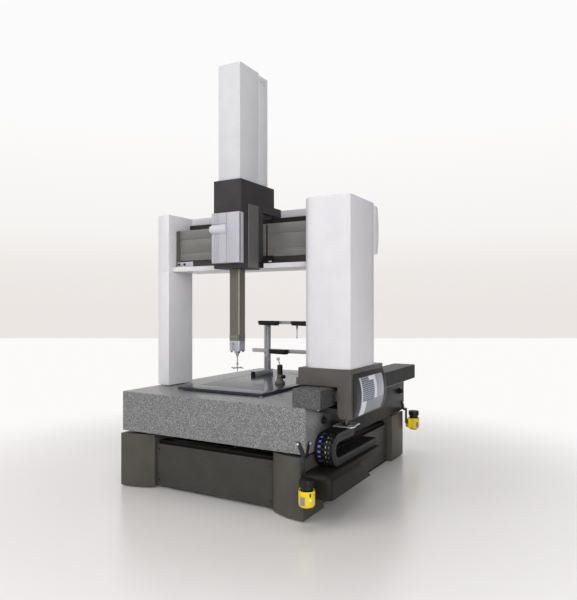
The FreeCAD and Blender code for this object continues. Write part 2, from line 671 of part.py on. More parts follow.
def cross_beam():
    """The cross beam with its guide grooves, and the covers below and behind it."""
    outline = [("beam_front + band_set", "beam_bottom"),
               ("beam_front + band_set", "beam_bottom + band_high"),
               ("beam_front", "beam_bottom + band_high")]
    for groove in ("groove_a", "groove_b"):
        outline += [("beam_front", f"{groove} - groove_wide / 2"),
                    ("beam_front + groove_deep", f"{groove} - groove_wide / 2"),
                    ("beam_front + groove_deep", f"{groove} + groove_wide / 2"),
                    ("beam_front", f"{groove} + groove_wide / 2")]
    outline += [("beam_front", "beam_top"), ("beam_back", "beam_top"),
                ("beam_back", "beam_bottom")]
    bar = prism("beam_bar", "x", outline, "strut_left + strut_wall", "leg_left")
    bore = box("beam_bore", ("strut_left", "leg_left + 1"),
               ("beam_front + band_set + beam_wall", "beam_back - beam_wall"),
               ("beam_bottom + beam_wall", "beam_top - beam_wall"))
    piece(cut("cross_beam", bar, bore))
    piece(box("beam_under_cover", ("strut_right", "leg_left"), ("strip_front", "rear_far"),
              ("strip_low", "beam_bottom")))
    rear = prism(
        "rear_panel_form", "x",
        [("beam_back", "beam_bottom"), ("rear_far", "beam_bottom"), ("rear_far", "rear_top"),
         ("rear_near", "rear_top"), ("rear_near", "rear_step"),
         ("rear_far - rear_thick", "rear_step"),
         ("rear_far - rear_thick", "beam_bottom + rear_thick"),
         ("beam_back", "beam_bottom + rear_thick")],
        "strut_right", "leg_left - rear_margin")
    wing = box("rear_wing", ("strut_left", "strut_right"), ("rear_near", "rear_far"),
               ("rear_step", "rear_top"))
    piece(fuse("beam_rear_cover", rear, wing))


def carriage():
    """The carriage on the beam: housing, covers, handle, bearings and the tall hood."""
    side = ("cart_left", "cart_right")
    body = prism(
        "cart_body", "x",
        [("cart_front", "cart_low"), ("strip_front - strip_gap", "cart_low"),
         ("strip_front - strip_gap", "step_high"), ("cart_back", "step_high"),
         ("cart_back", "wing_low"), ("wing_back", "wing_low"), ("wing_back", "wing_high"),
         ("upper_back", "wing_high"), ("upper_back", "cart_top"),
         ("cart_front", "cart_top")], *side)
    heel = prism(
        "cart_heel", "y",
        [("cart_left - 1", "cart_low - 1"), ("cart_left + cart_chamfer", "cart_low - 1"),
         ("cart_left - 1", "cart_low + cart_chamfer")], "cart_front - 1", "cart_back")
    shaft = [f"ram_{axis} {sign} (ram_half + ram_gap)" for axis in "xy" for sign in "-+"]
    well = box("ram_well", shaft[:2], shaft[2:], ("cart_low - 1", "cart_top + 1"))
    piece(cut("carriage_housing", body, heel, well))
    guides = []
    for low in ("guide_low", "guide_top"):
        frame = box(low + "_block", shaft[:2], shaft[2:], (low, f"{low} + guide_high"))
        hole = [f"ram_{axis} {sign} (ram_half + film)" for axis in "xy" for sign in "-+"]
        gap = box(low + "_gap", hole[:2], hole[2:], (f"{low} - 1", f"{low} + guide_high + 1"))
        guides.append(cut(low + "_frame", frame, gap))
    piece(eased_box("carriage_side_band", ("cart_right", "cart_right + band_thick"),
                    ("band_front", "band_rear"), ("band_low", "band_top"),
                    [("band_thick / 2", "z", ("x+",))]))
    face = eased_box("face_block", ("face_left", "face_right"), ("face_front", "cart_front"),
                     ("face_low", "face_top"),
                     [("face_bevel", "z", ("x+", "y-")), ("cart_chamfer", "z", ("x-", "y-"))])
    starts = [f"face_left + flute_start + {k} * flute_pitch"
              for k in range(int(size("flute_count")))]
    starts.append("face_left + seam_start")
    flutes = [
        box(f"flute_{k}", (start, f"{start} + flute_wide"),
            ("face_front - 1", "face_front + flute_deep"), ("face_low - 1", "face_top + 1"))
        for k, start in enumerate(starts)]
    grip = ("face_front + handle_out", "handle_z")
    seat = rod("handle_seat", "handle_radius", "x", "face_left - 1", "handle_right", grip)
    piece(cut("carriage_front_cover", face, *flutes, seat))
    rim = rod("handle_bar", "handle_radius", "x", "handle_left + handle_radius / 2",
              "handle_right", grip)
    tip = rod("handle_tip", "handle_end", "x", "handle_left",
              "handle_left + handle_radius / 2", grip)
    piece(fuse("carriage_handle", rim, tip))
    spots = [(f"ram_x {side} pad_x", level) for side in "-+" for level in ("pad_low", "pad_high")]
    pads = [pad(f"front_pad_{number}", "pad_half", "y", "cart_back", "beam_front - film", spot)
            for number, spot in enumerate(spots)]
    shoe = box("top_shoe", ("bearing_left", "bearing_right"),
               ("bearing_front", "bearing_rear"), ("beam_top + film", "wing_low"))
    piece(group("carriage_bearings", [*pads, shoe, *guides]))
    for name, front, rear, top in (
            ("column_cover", "hood_front", "hood_split", "hood_top"),
            ("column_rear_cover", "hood_split", "hood_rear", "hood_top - hood_step")):
        skin = box(name + "_skin", ("hood_left", "hood_right"), (front, rear),
                   ("cart_top", top))
        void = box(name + "_void", ("hood_left + hood_wall", "hood_right - hood_wall"),
                   (f"{front} + hood_wall", f"{rear} - hood_wall"),
                   ("cart_top - 1", f"{top} - hood_wall"))
        piece(cut(name, skin, void))
    piece(rod("balance_cylinder", "balance_radius", "z", "cart_top", "balance_top",
              ("ram_x", "(hood_split + hood_rear) / 2")))


def ram():
    """The ram, the probe head below it and the star stylus."""
    wide = ("ram_x - ram_half", "ram_x + ram_half")
    deep = ("ram_y - ram_half", "ram_y + ram_half")
    tube = eased_box("ram_tube", wide, deep, ("ram_low", "ram_top"),
                     [("ram_bevel", "z", ())])
    bore = box("ram_bore", *((f"{low} + ram_wall", f"{high} - ram_wall")
                             for low, high in (wide, deep)), ("ram_low - 1", "ram_top + 1"))
    piece(cut("ram", tube, bore))
    spot = ("ram_x", "ram_y")
    block = eased_box("head_block", wide, deep, ("head_low", "ram_low"),
                      [("head_bevel", "z", ())])
    lugs = [pad(f"lug_{number}", "lug_half", "z", "lug_low", "head_low",
                (f"ram_x {a} lug_out", f"ram_y {b} lug_out"))
            for number, (a, b) in enumerate(("++", "+-", "-+", "--"))]
    collar = rod("head_collar", "collar_radius", "z", "collar_low", "head_low", spot)
    piece(fuse("probe_head", block, collar, *lugs))
    cross = [
        cone("stylus_taper", "shaft_radius", "taper_radius", "taper_low",
             "collar_low - film", spot),
        rod("stylus_shaft", "shaft_radius", "z", "hub_z", "taper_low", spot),
        box("stylus_hub", ("ram_x - hub_half", "ram_x + hub_half"),
            ("ram_y - hub_half", "ram_y + hub_half"), ("hub_z - hub_half", "hub_z + hub_half")),
        rod("arm_across", "arm_radius", "x", "ram_x - arm_reach", "ram_x + arm_reach",
            ("ram_y", "hub_z")),
        rod("arm_along", "arm_radius", "y", "ram_y - arm_reach", "ram_y + arm_reach",
            ("ram_x", "hub_z")),
        rod("arm_down", "arm_radius", "z", "hub_z - tip_drop", "hub_z", spot),
        ball("tip_down", "tip_radius", *spot, "hub_z - tip_drop")]
    for number, sign in enumerate("-+"):
        for axis, other in (("x", "y"), ("y", "x")):
            end = f"ram_{axis} {sign} arm_reach"
            cross.append(rod(f"tip_{axis}_{number}", "tip_radius", axis, f"{end} - tip_radius",
                             f"{end} + tip_radius", (f"ram_{other}", "hub_z")))
    piece(fuse("star_stylus", *cross))


def rack():
    """The stylus rack on the plate: slotted profiles, bars and the holders on them."""
    half = "rack_section / 2"
    feet, posts, caps = [], [], []
    for side in ("left", "right"):
        x = (f"rack_{side} - {half}", f"rack_{side} + {half}")
        foot = box(f"{side}_foot_bar", x, ("rack_front", "rack_rear"),
                   ("plate_top", "rack_floor"))
        slot = box(f"{side}_foot_slot",
                   (f"rack_{side} - rack_slot / 2", f"rack_{side} + rack_slot / 2"),
                   ("rack_front - 1", f"rack_y - {half}"),
                   ("rack_floor - rack_slot_deep", "rack_floor + 1"))
        feet.append(cut(f"{side}_foot", foot, slot))
        post = box(f"{side}_post_bar", x, (f"rack_y - {half}", f"rack_y + {half}"),
                   ("rack_floor", "top_bar_low"))
        slots = [
            box(f"{side}_slot_front",
                (f"rack_{side} - rack_slot / 2", f"rack_{side} + rack_slot / 2"),
                (f"rack_y - {half} - 1", f"rack_y - {half} + rack_slot_deep"),
                ("rack_floor - 1", "top_bar_low + 1")),
            box(f"{side}_slot_side", (f"rack_{side} + {half} - rack_slot_deep",
                                      f"rack_{side} + {half} + 1"),
                ("rack_y - rack_slot / 2", "rack_y + rack_slot / 2"),
                ("rack_floor - 1", "top_bar_low + 1"))]
        posts.append(cut(f"{side}_post", post, *slots))
        caps.append(box(f"{side}_cap", x, ("rack_front - cap_thick", "rack_front"),
                        ("plate_top", "rack_floor")))
    piece(group("rack_feet", feet))
    piece(group("rack_posts", posts))
    piece(group("rack_end_caps", caps))
    front = f"rack_y - {half}"
    top = box("top_bar", ("top_bar_left", "bar_right"), (front, "rack_y + bar_deep / 2"),
              ("top_bar_low", "top_bar_high"))
    low = box("low_bar", ("low_bar_left", "bar_right"), (f"{front} - bar_deep", front),
              ("low_bar_low", "low_bar_high"))
    piece(group("rack_bars", [top, low]))
    holders = []
    for name, left, right, back, high in (
            ("holder_top_left", "top_bar_left", "top_bar_left + holder_top_long", front,
             "top_bar_high"),
            ("holder_top_right", "spare_x - holder_spare_in", "spare_x + holder_spare_out",
             front, "top_bar_high"),
            ("holder_low", "rack_left + holder_low_start", "rack_left + holder_low_stop",
             f"{front} - bar_deep", "low_bar_high")):
        level = f"{high} - holder_high"
        holders.append(prism(
            name, "z",
            [(left, back), (f"{left} + holder_ease", f"{back} - holder_deep / 2"),
             (f"{left} + holder_nose", f"{back} - holder_deep"),
             (f"{right} - holder_ease", f"{back} - holder_deep"),
             (right, f"{back} - holder_deep / 2"), (right, back)], level, high))
    piece(group("rack_holders", holders))
    spot = ("spare_x", f"{front} - holder_deep / 2")
    level = "top_bar_high - holder_high"
    piece(fuse(
        "spare_stylus",
        rod("spare_head", "spare_radius", "z", f"{level} - spare_long", level, spot),
        rod("spare_shaft", "shaft_radius", "z", f"{level} - spare_reach", level, spot),
        rod("spare_disc", "spare_radius", "z", f"{level} - spare_reach - tip_radius",
            f"{level} - spare_reach", spot)))


def sphere_stand():
    """The reference sphere on its magnetic stand, with the switch on the stand's side."""
    spot = ("stand_x", "stand_y")
    boss = "stand_x + stand_body + dial_boss"
    stand = fuse(
        "stand_form",
        rod("stand_base", "stand_radius", "z", "plate_top", "plate_top + stand_flange", spot),
        rod("stand_column", "stand_body", "z", "plate_top", "stand_top", spot),
        rod("stand_boss", "dial_radius", "x", "stand_x", boss, ("stand_y", "dial_z")))
    doc.recompute()
    foot = Vector(size("stand_x"), size("stand_y"), size("stand_top"))
    lean = Vector(-size("stem_lean"), 0, size("stem_high"))
    root = foot - lean * (size("stem_sunk") / lean.Length)
    middle = foot + lean * (1 + size("ball_radius") / lean.Length)
    bead = Part.makeSphere(size("ball_radius"), middle)
    stem = Part.makeCylinder(size("stem_radius"), (middle - root).Length, root, lean)
    piece(group("sphere_stand", [
        stand, feature("sphere_stem", stem.cut(stand.Shape).cut(bead)),
        feature("reference_sphere", bead)]))
    dial = rod("dial_disc", "dial_radius", "x", f"{boss} + film",
               f"{boss} + film + dial_thick", ("stand_y", "dial_z"))
    lever = rod("dial_lever", "lever_radius", "y", "stand_y - lever_long", "stand_y",
                (f"{boss} + film + dial_thick / 2", "dial_z"))
    piece(fuse("magnet_switch", dial, lever))


def scanners():
    """The safety scanners on bent brackets at the front and rear right-hand corners."""
    outward = Rotation(Vector(0, 0, 1), -45)
    middle = "(table_front + table_rear) / 2"
    eye = ("scan_x + scan_reach * sqrt(0.5)", "scan_y - scan_reach * sqrt(0.5)")

    def turned(name, reach, half, low, high):
        block = doc.addObject("Part::Box", name)
        block.Placement = Placement(Vector(), outward)
        block.setExpression("Length", tie(f"({reach[1]}) - ({reach[0]})"))
        block.setExpression("Width", tie(f"2 * ({half})"))
        block.setExpression("Height", tie(f"({high}) - ({low})"))
        root = "sqrt(0.5)"
        return place(block, f"scan_x + ({reach[0]} - ({half})) * {root}",
                     f"scan_y - ({reach[0]} + ({half})) * {root}", low)

    def bracket(end, rise):
        arms = []
        tips = ("blade_top - arm_foot", "column_top + arm_lift")
        for name, axis, sign, corner, face, high, low, (level_high, level_low) in (
                ("front", "y", "-", "table_right", ("table_front - arm_thick", "table_front"),
                 "+ arm_thick", "- arm_wide", tips),
                ("side", "x", "+", "table_front", ("table_right", "table_right + arm_thick"),
                 "+ arm_wide", "- arm_thick", tips[::-1])):
            bolt = f"{corner} {sign} arm_bolt"
            arms.append(prism(
                f"{end}_arm_{name}", axis,
                [(f"{bolt} - arm_wide / 2", "arm_bolt_z + arm_wide / 2"),
                 (f"{bolt} + arm_wide / 2", "arm_bolt_z + arm_wide / 2"),
                 (f"{corner} {high}", level_high), (f"{corner} {low}", level_low)], *face))
        hub = box(f"{end}_hub", ("table_right - hub_in", "table_right + hub_out"),
                  ("scan_y", "table_front"), ("column_top + hub_low", "table_low - hub_gap"))
        blade = turned(f"{end}_blade", ("-(blade_thick)", "0"), "blade_wide / 2",
                       f"blade_low + {rise}", "blade_top")
        return fuse(f"{end}_bracket", hub, blade, *arms)

    def housing(end, rise):
        low = f"scan_low + {rise}"
        back = turned(f"{end}_scan_back", ("0", "scan_reach"), "scan_back / 2",
                      f"{low} + scan_heel", f"scan_neck + {rise} - scan_drop")
        drum = rod(f"{end}_scan_drum", "scan_radius", "z", low, f"scan_neck + {rise}", eye)
        return fuse(f"{end}_scanner", back, drum)

    def head(end, rise):
        neck = f"scan_neck + {rise}"
        return fuse(
            f"{end}_scan_head",
            cone(f"{end}_scan_taper", "scan_head - scan_taper", "scan_head", neck,
                 f"{neck} + scan_cone", eye),
            rod(f"{end}_scan_cap", "scan_head", "z", f"{neck} + scan_cone",
                f"scan_top + {rise}", eye))

    for name, make in (("scanner_brackets", bracket), ("scanner_housings", housing),
                       ("scanner_heads", head)):
        rear = make("rear", "rear_rise")
        piece(group(name, [make("front", "0"), mirrored(name + "_rear", rear, "y", middle)]))


def export():
    """Check every object, then write each sub-part to its own file."""
    doc.recompute()
    for thing in doc.Objects:
        if "Invalid" in thing.State or "Error" in thing.State:
            raise RuntimeError(f"{thing.Name} did not build: {thing.State}")
    for name, thing in pieces.items():
        shape = thing.Shape
        if shape.isNull() or not shape.isValid() or not shape.Solids:
            raise RuntimeError(f"{name} has no valid solid")
        shape.exportStep(f"parts/{name}.step")
    print(len(pieces), "sub-parts")


sheet = fill_sheet()
base()
table()
tray()
chain()
portal_foot()
right_leg()
left_leg()
cross_beam()
carriage()
ram()
rack()
sphere_stand()
scanners()
export()
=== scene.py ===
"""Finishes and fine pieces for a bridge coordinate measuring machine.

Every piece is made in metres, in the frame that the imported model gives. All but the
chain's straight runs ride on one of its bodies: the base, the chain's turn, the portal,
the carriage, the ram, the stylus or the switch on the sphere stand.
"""

from __future__ import annotations

import logging
import math
from dataclasses import dataclass
from enum import Enum
from typing import Any, Callable, Iterable, Sequence

import bpy
from mathutils import Matrix, Vector

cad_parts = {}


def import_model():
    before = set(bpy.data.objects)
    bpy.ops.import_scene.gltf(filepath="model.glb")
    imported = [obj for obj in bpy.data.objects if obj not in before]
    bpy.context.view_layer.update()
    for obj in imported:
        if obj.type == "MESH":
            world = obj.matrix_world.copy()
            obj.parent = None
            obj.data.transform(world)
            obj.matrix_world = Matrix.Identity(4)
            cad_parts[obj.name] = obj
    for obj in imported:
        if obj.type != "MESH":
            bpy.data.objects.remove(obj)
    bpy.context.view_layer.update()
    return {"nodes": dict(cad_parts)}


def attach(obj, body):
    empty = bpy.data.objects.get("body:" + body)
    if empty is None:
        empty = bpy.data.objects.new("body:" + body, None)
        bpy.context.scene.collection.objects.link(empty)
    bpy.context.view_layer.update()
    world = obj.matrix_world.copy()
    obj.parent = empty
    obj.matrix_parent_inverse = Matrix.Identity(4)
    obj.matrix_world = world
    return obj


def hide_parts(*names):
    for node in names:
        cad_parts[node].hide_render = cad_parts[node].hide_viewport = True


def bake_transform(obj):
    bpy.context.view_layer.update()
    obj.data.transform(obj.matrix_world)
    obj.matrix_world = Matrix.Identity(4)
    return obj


LOG = logging.getLogger("measuring_machine")
MM = 0.001
# Points closer than this, in metres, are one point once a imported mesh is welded.
WELD_REACH = 0.00002
# An edge is rounded from the first of these turns, and stays crisp in the shading from
# the second, both in degrees.
ROUND_FROM = 32.0
CRISP_FROM = 38.0
# A face counts as looking along an axis when its normal lies this far along it.
FACING = 0.9

Span = tuple[float, float]


class Axis(Enum):
    """An axis of the frame, by its place in a point."""

    X = 0
    Y = 1
    Z = 2


def linear(colour: str) -> tuple[float, float, float, float]:
    """Turn an sRGB hex colour into linear light.

    Args:
        colour: Six hex digits, such as "8a8a8a".

    Returns:
        The linear colour with full opacity.
    """
    parts = [int(colour[place:place + 2], 16) / 255 for place in (0, 2, 4)]
    light = [c / 12.92 if c <= 0.04045 else ((c + 0.055) / 1.055) ** 2.4 for c in parts]
    return (light[0], light[1], light[2], 1.0)


def add(tree: bpy.types.NodeTree, kind: str, sockets: dict[Any, Any] | None = None,
        **settings: Any) -> bpy.types.Node:
    """Add a shader node with its settings and links.

    Args:
        tree: The material's node tree.
        kind: The node's type name after "ShaderNode".
        sockets: Input names or numbers, each with a value or another node's output.
        **settings: Properties of the node itself.

    Returns:
        The new node.
    """
    node = tree.nodes.new("ShaderNode" + kind)
    for name, value in settings.items():
        setattr(node, name, value)
    for name, value in (sockets or {}).items():
        if isinstance(value, bpy.types.NodeSocket):
            tree.links.new(value, node.inputs[name])
        else:
            node.inputs[name].default_value = value
    return node


def start_material(name: str) -> tuple[bpy.types.Material, bpy.types.NodeTree,
                                       bpy.types.NodeSocket]:
    """Make an empty material that reads object coordinates.

    Args:
        name: The material's name.

    Returns:
        The material, its node tree and the object coordinates.
    """
    material = bpy.data.materials.new(name)
    material.use_nodes = True
    tree = material.node_tree
    tree.nodes.clear()
    place = add(tree, "TexCoord").outputs["Object"]
    return material, tree, place


def close_material(tree: bpy.types.NodeTree, sockets: dict[str, Any]) -> None:
    """Finish a material with its principled shader."""
    shader = add(tree, "BsdfPrincipled", sockets)
    add(tree, "OutputMaterial", {"Surface": shader.outputs["BSDF"]})


def ramp(tree: bpy.types.NodeTree, factor: bpy.types.NodeSocket,
         stops: Sequence[tuple[float, str]], stepped: bool = False) -> bpy.types.NodeSocket:
    """Turn a factor into a colour through named stops.

    Args:
        tree: The material's node tree.
        factor: The value that picks the colour.
        stops: Places from 0 to 1 with their hex colours.
        stepped: Whether the colours change at once instead of blending.

    Returns:
        The colour output.
    """
    node = add(tree, "ValToRGB", {"Fac": factor})
    band = node.color_ramp
    band.interpolation = "CONSTANT" if stepped else "LINEAR"
    while len(band.elements) < len(stops):
        band.elements.new(1.0)
    for element, (place, colour) in zip(band.elements, stops):
        element.position = place
        element.color = linear(colour)
    return node.outputs["Color"]


@dataclass(frozen=True)
class Paint:
    """Sprayed or powder coated metal: an even colour over a fine skin of orange peel.

    Real orange peel is under a millimetre wide. It is drawn coarser, at grain_mm, so that
    it still breaks up the highlights at the render's size.
    """

    name: str
    colour: str
    shade: str
    roughness: float = 0.4
    grain_mm: float = 1.6
    grain_depth_mm: float = 0.03
    coat: float = 0.0
    specular: float = 0.4

    def material(self) -> bpy.types.Material:
        """Build the paint: its colour drifts a little over a hand's width.

        Returns:
            The material.
        """
        material, tree, place = start_material(self.name)
        drift = add(tree, "TexNoise", {"Vector": place, "Scale": 1 / 0.12, "Detail": 3.0})
        colour = ramp(tree, drift.outputs["Fac"], [(0.3, self.shade), (0.7, self.colour)])
        skin = add(tree, "TexNoise",
                   {"Vector": place, "Scale": 1 / (self.grain_mm * MM), "Detail": 2.0})
        gloss = add(tree, "MapRange", {
            "Value": skin.outputs["Fac"], "To Min": self.roughness - 0.06,
            "To Max": self.roughness + 0.08})
        bump = add(tree, "Bump", {
            "Height": skin.outputs["Fac"], "Strength": 0.35,
            "Distance": self.grain_depth_mm * MM})
        close_material(tree, {
            "Base Color": colour, "Roughness": gloss.outputs["Result"],
            "Normal": bump.outputs["Normal"], "Coat Weight": self.coat,
            "Coat Roughness": 0.12, "Specular IOR Level": self.specular})
        return material


@dataclass(frozen=True)
class Metal:
    """Machined, brushed or anodised metal, with streaks along one axis.

    The lines of a real brush are about 0.05 mm wide. They are drawn several times as
    coarse, at streak_mm, because the fine ones would blur into one flat tone.
    """

    name: str
    colour: str
    shade: str
    roughness: float = 0.32
    metallic: float = 1.0
    along: Axis = Axis.Z
    streak_mm: float = 0.9
    stretch: float = 60.0

    def material(self) -> bpy.types.Material:
        """Build the metal: fine streaks left by the brush or the drawing die.

        Returns:
            The material.
        """
        material, tree, place = start_material(self.name)
        scale = [1.0, 1.0, 1.0]
        scale[self.along.value] = 1 / self.stretch
        stretched = add(tree, "Mapping", {"Vector": place, "Scale": scale})
        streak = add(tree, "TexNoise", {
            "Vector": stretched.outputs["Vector"], "Scale": 1 / (self.streak_mm * MM),
            "Detail": 4.0, "Roughness": 0.6})
        drift = add(tree, "TexNoise", {"Vector": place, "Scale": 1 / 0.2, "Detail": 2.0})
        factor = add(tree, "Math", {0: streak.outputs["Fac"], 1: drift.outputs["Fac"]},
                     operation="MULTIPLY")
        colour = ramp(tree, factor.outputs["Value"], [(0.12, self.shade), (0.4, self.colour)])
        gloss = add(tree, "MapRange", {
            "Value": streak.outputs["Fac"], "To Min": self.roughness - 0.08,
            "To Max": self.roughness + 0.1})
        bump = add(tree, "Bump", {"Height": streak.outputs["Fac"], "Strength": 0.15,
                                  "Distance": 0.02 * MM})
        close_material(tree, {
            "Base Color": colour, "Metallic": self.metallic,
            "Roughness": gloss.outputs["Result"], "Normal": bump.outputs["Normal"]})
        return material


@dataclass(frozen=True)
class Plastic:
    """Moulded plastic or rubber with a fine spark-eroded grain.

    The real grain is about 0.1 mm. It is drawn coarser, at grain_mm, so that it shows as
    a soft, slightly broken highlight.
    """

    name: str
    colour: str
    roughness: float = 0.5
    grain_mm: float = 0.8
    grain_depth_mm: float = 0.03
    coat: float = 0.0
    specular: float = 0.35

    def material(self) -> bpy.types.Material:
        """Build the plastic: even colour, with a grain that breaks up its highlights.

        Returns:
            The material.
        """
        material, tree, place = start_material(self.name)
        grain = add(tree, "TexVoronoi",
                    {"Vector": place, "Scale": 1 / (self.grain_mm * MM)})
        cloud = add(tree, "TexNoise", {"Vector": place, "Scale": 1 / 0.03, "Detail": 3.0})
        gloss = add(tree, "MapRange", {
            "Value": cloud.outputs["Fac"], "To Min": self.roughness - 0.07,
            "To Max": self.roughness + 0.09})
        bump = add(tree, "Bump", {
            "Height": grain.outputs["Distance"], "Strength": 0.3,
            "Distance": self.grain_depth_mm * MM})
        close_material(tree, {
            "Base Color": linear(self.colour), "Roughness": gloss.outputs["Result"],
            "Normal": bump.outputs["Normal"], "Coat Weight": self.coat,
            "Coat Roughness": 0.08, "Specular IOR Level": self.specular})
        return material


@dataclass(frozen=True)
class Granite:
    """Lapped granite: crystals of dark mica, grey quartz and pale feldspar.

    Real crystals are 1 to 2 mm. They are drawn at crystal_mm, coarser than that, so that
    the stone looks speckled at the render's size and doesn't turn an even grey.
    """

    name: str = "lapped granite"
    crystal_mm: float = 4.4
    roughness: float = 0.3
    tone: str = "ffffff"
    # Faces that look to the right take painted shade in this tone: faint in front of the first Y
    # of the span below and full behind its second, in metres.
    guide_tone: str = "454342"
    side_shade_span: tuple[float, float] = (-0.78, -0.5)
    specular: float = 0.3

    def material(self) -> bpy.types.Material:
        """Build the granite from two sizes of crystal, with painted shade on its faces that look
        to the right.

        Returns:
            The material.
        """
        material, tree, place = start_material(self.name)
        large = add(tree, "TexVoronoi", {
            "Vector": place, "Scale": 1 / (self.crystal_mm * MM), "Randomness": 1.0})
        small = add(tree, "TexVoronoi", {
            "Vector": place, "Scale": 2.2 / (self.crystal_mm * MM), "Randomness": 1.0})
        tones = []
        for cells in (large, small):
            split = add(tree, "SeparateColor", {"Color": cells.outputs["Color"]})
            tones.append(ramp(tree, split.outputs["Red"], [
                (0.0, "474849"), (0.16, "696a6b"), (0.38, "828384"), (0.62, "979899"),
                (0.82, "b4b5b6"), (0.94, "d6d7d8")], stepped=True))
        grain = add(tree, "MixRGB", {"Fac": 0.45, "Color1": tones[0], "Color2": tones[1]})
        drift = add(tree, "TexNoise", {"Vector": place, "Scale": 1 / 0.05, "Detail": 3.0})
        cloud = ramp(tree, drift.outputs["Fac"], [(0.3, "959594"), (0.7, "c9c9c8")])
        mixed = add(tree, "MixRGB", {"Fac": 0.28, "Color1": grain.outputs["Color"],
                                     "Color2": cloud}, blend_type="MULTIPLY")
        # Painted shade: faces that look to the right are multiplied towards their darker tone,
        # faintly near the front of the machine and fully further back, and lose most of their
        # specular sheen.
        facing = add(tree, "SeparateXYZ", {"Vector": add(tree, "TexCoord").outputs["Normal"]})
        along = add(tree, "SeparateXYZ", {"Vector": place})
        shade_fade = add(tree, "MapRange", {
            "Value": along.outputs["Y"], "From Min": self.side_shade_span[0], "From Max": self.side_shade_span[1],
            "To Min": 0.12, "To Max": 1.0})
        guide = add(tree, "MapRange", {
            "Value": facing.outputs["X"], "From Min": 0.6, "From Max": 0.9,
            "To Max": shade_fade.outputs["Result"]})
        toned = add(tree, "MixRGB", {
            "Fac": 1.0, "Color1": mixed.outputs["Color"], "Color2": linear(self.tone)},
            blend_type="MULTIPLY")
        toned = add(tree, "MixRGB", {
            "Fac": guide.outputs["Result"], "Color1": toned.outputs["Color"],
            "Color2": linear(self.guide_tone)}, blend_type="MULTIPLY")
        bump = add(tree, "Bump", {
            "Height": large.outputs["Distance"], "Strength": 0.08, "Distance": 0.05 * MM})
        sheen = add(tree, "MapRange", {
            "Value": guide.outputs["Result"], "To Min": self.specular,
            "To Max": self.specular * 0.15})
        close_material(tree, {
            "Base Color": toned.outputs["Color"], "Roughness": self.roughness,
            "Normal": bump.outputs["Normal"], "Specular IOR Level": sheen.outputs["Result"]})
        return material


@dataclass(frozen=True)
class PrintedTrim:
    """A silver trim whose tone steps down behind its bright front bar."""

    name: str = "printed silver trim"
    bright: str = "e4e4ec"
    middle: str = "9fa2ae"
    pale: str = "b9bbc6"
    bar_rear: float = -0.382
    rear: float = -0.254
    depth: float = 0.4

    def material(self) -> bpy.types.Material:
        """Build the trim: its tone follows the place along the machine's length.

        Returns:
            The material.
        """
        material, tree, place = start_material(self.name)
        along = add(tree, "SeparateXYZ", {"Vector": place})
        share = add(tree, "MapRange", {
            "Value": along.outputs["Y"], "From Min": self.rear - self.depth,
            "From Max": self.rear})
        step = 1.0 - (self.rear - self.bar_rear) / self.depth
        colour = ramp(tree, share.outputs["Result"], [
            (0.0, self.bright), (step, self.bright), (step + 0.01, self.middle),
            (1.0, self.pale)])
        close_material(tree, {"Base Color": colour, "Roughness": 0.34})
        return material


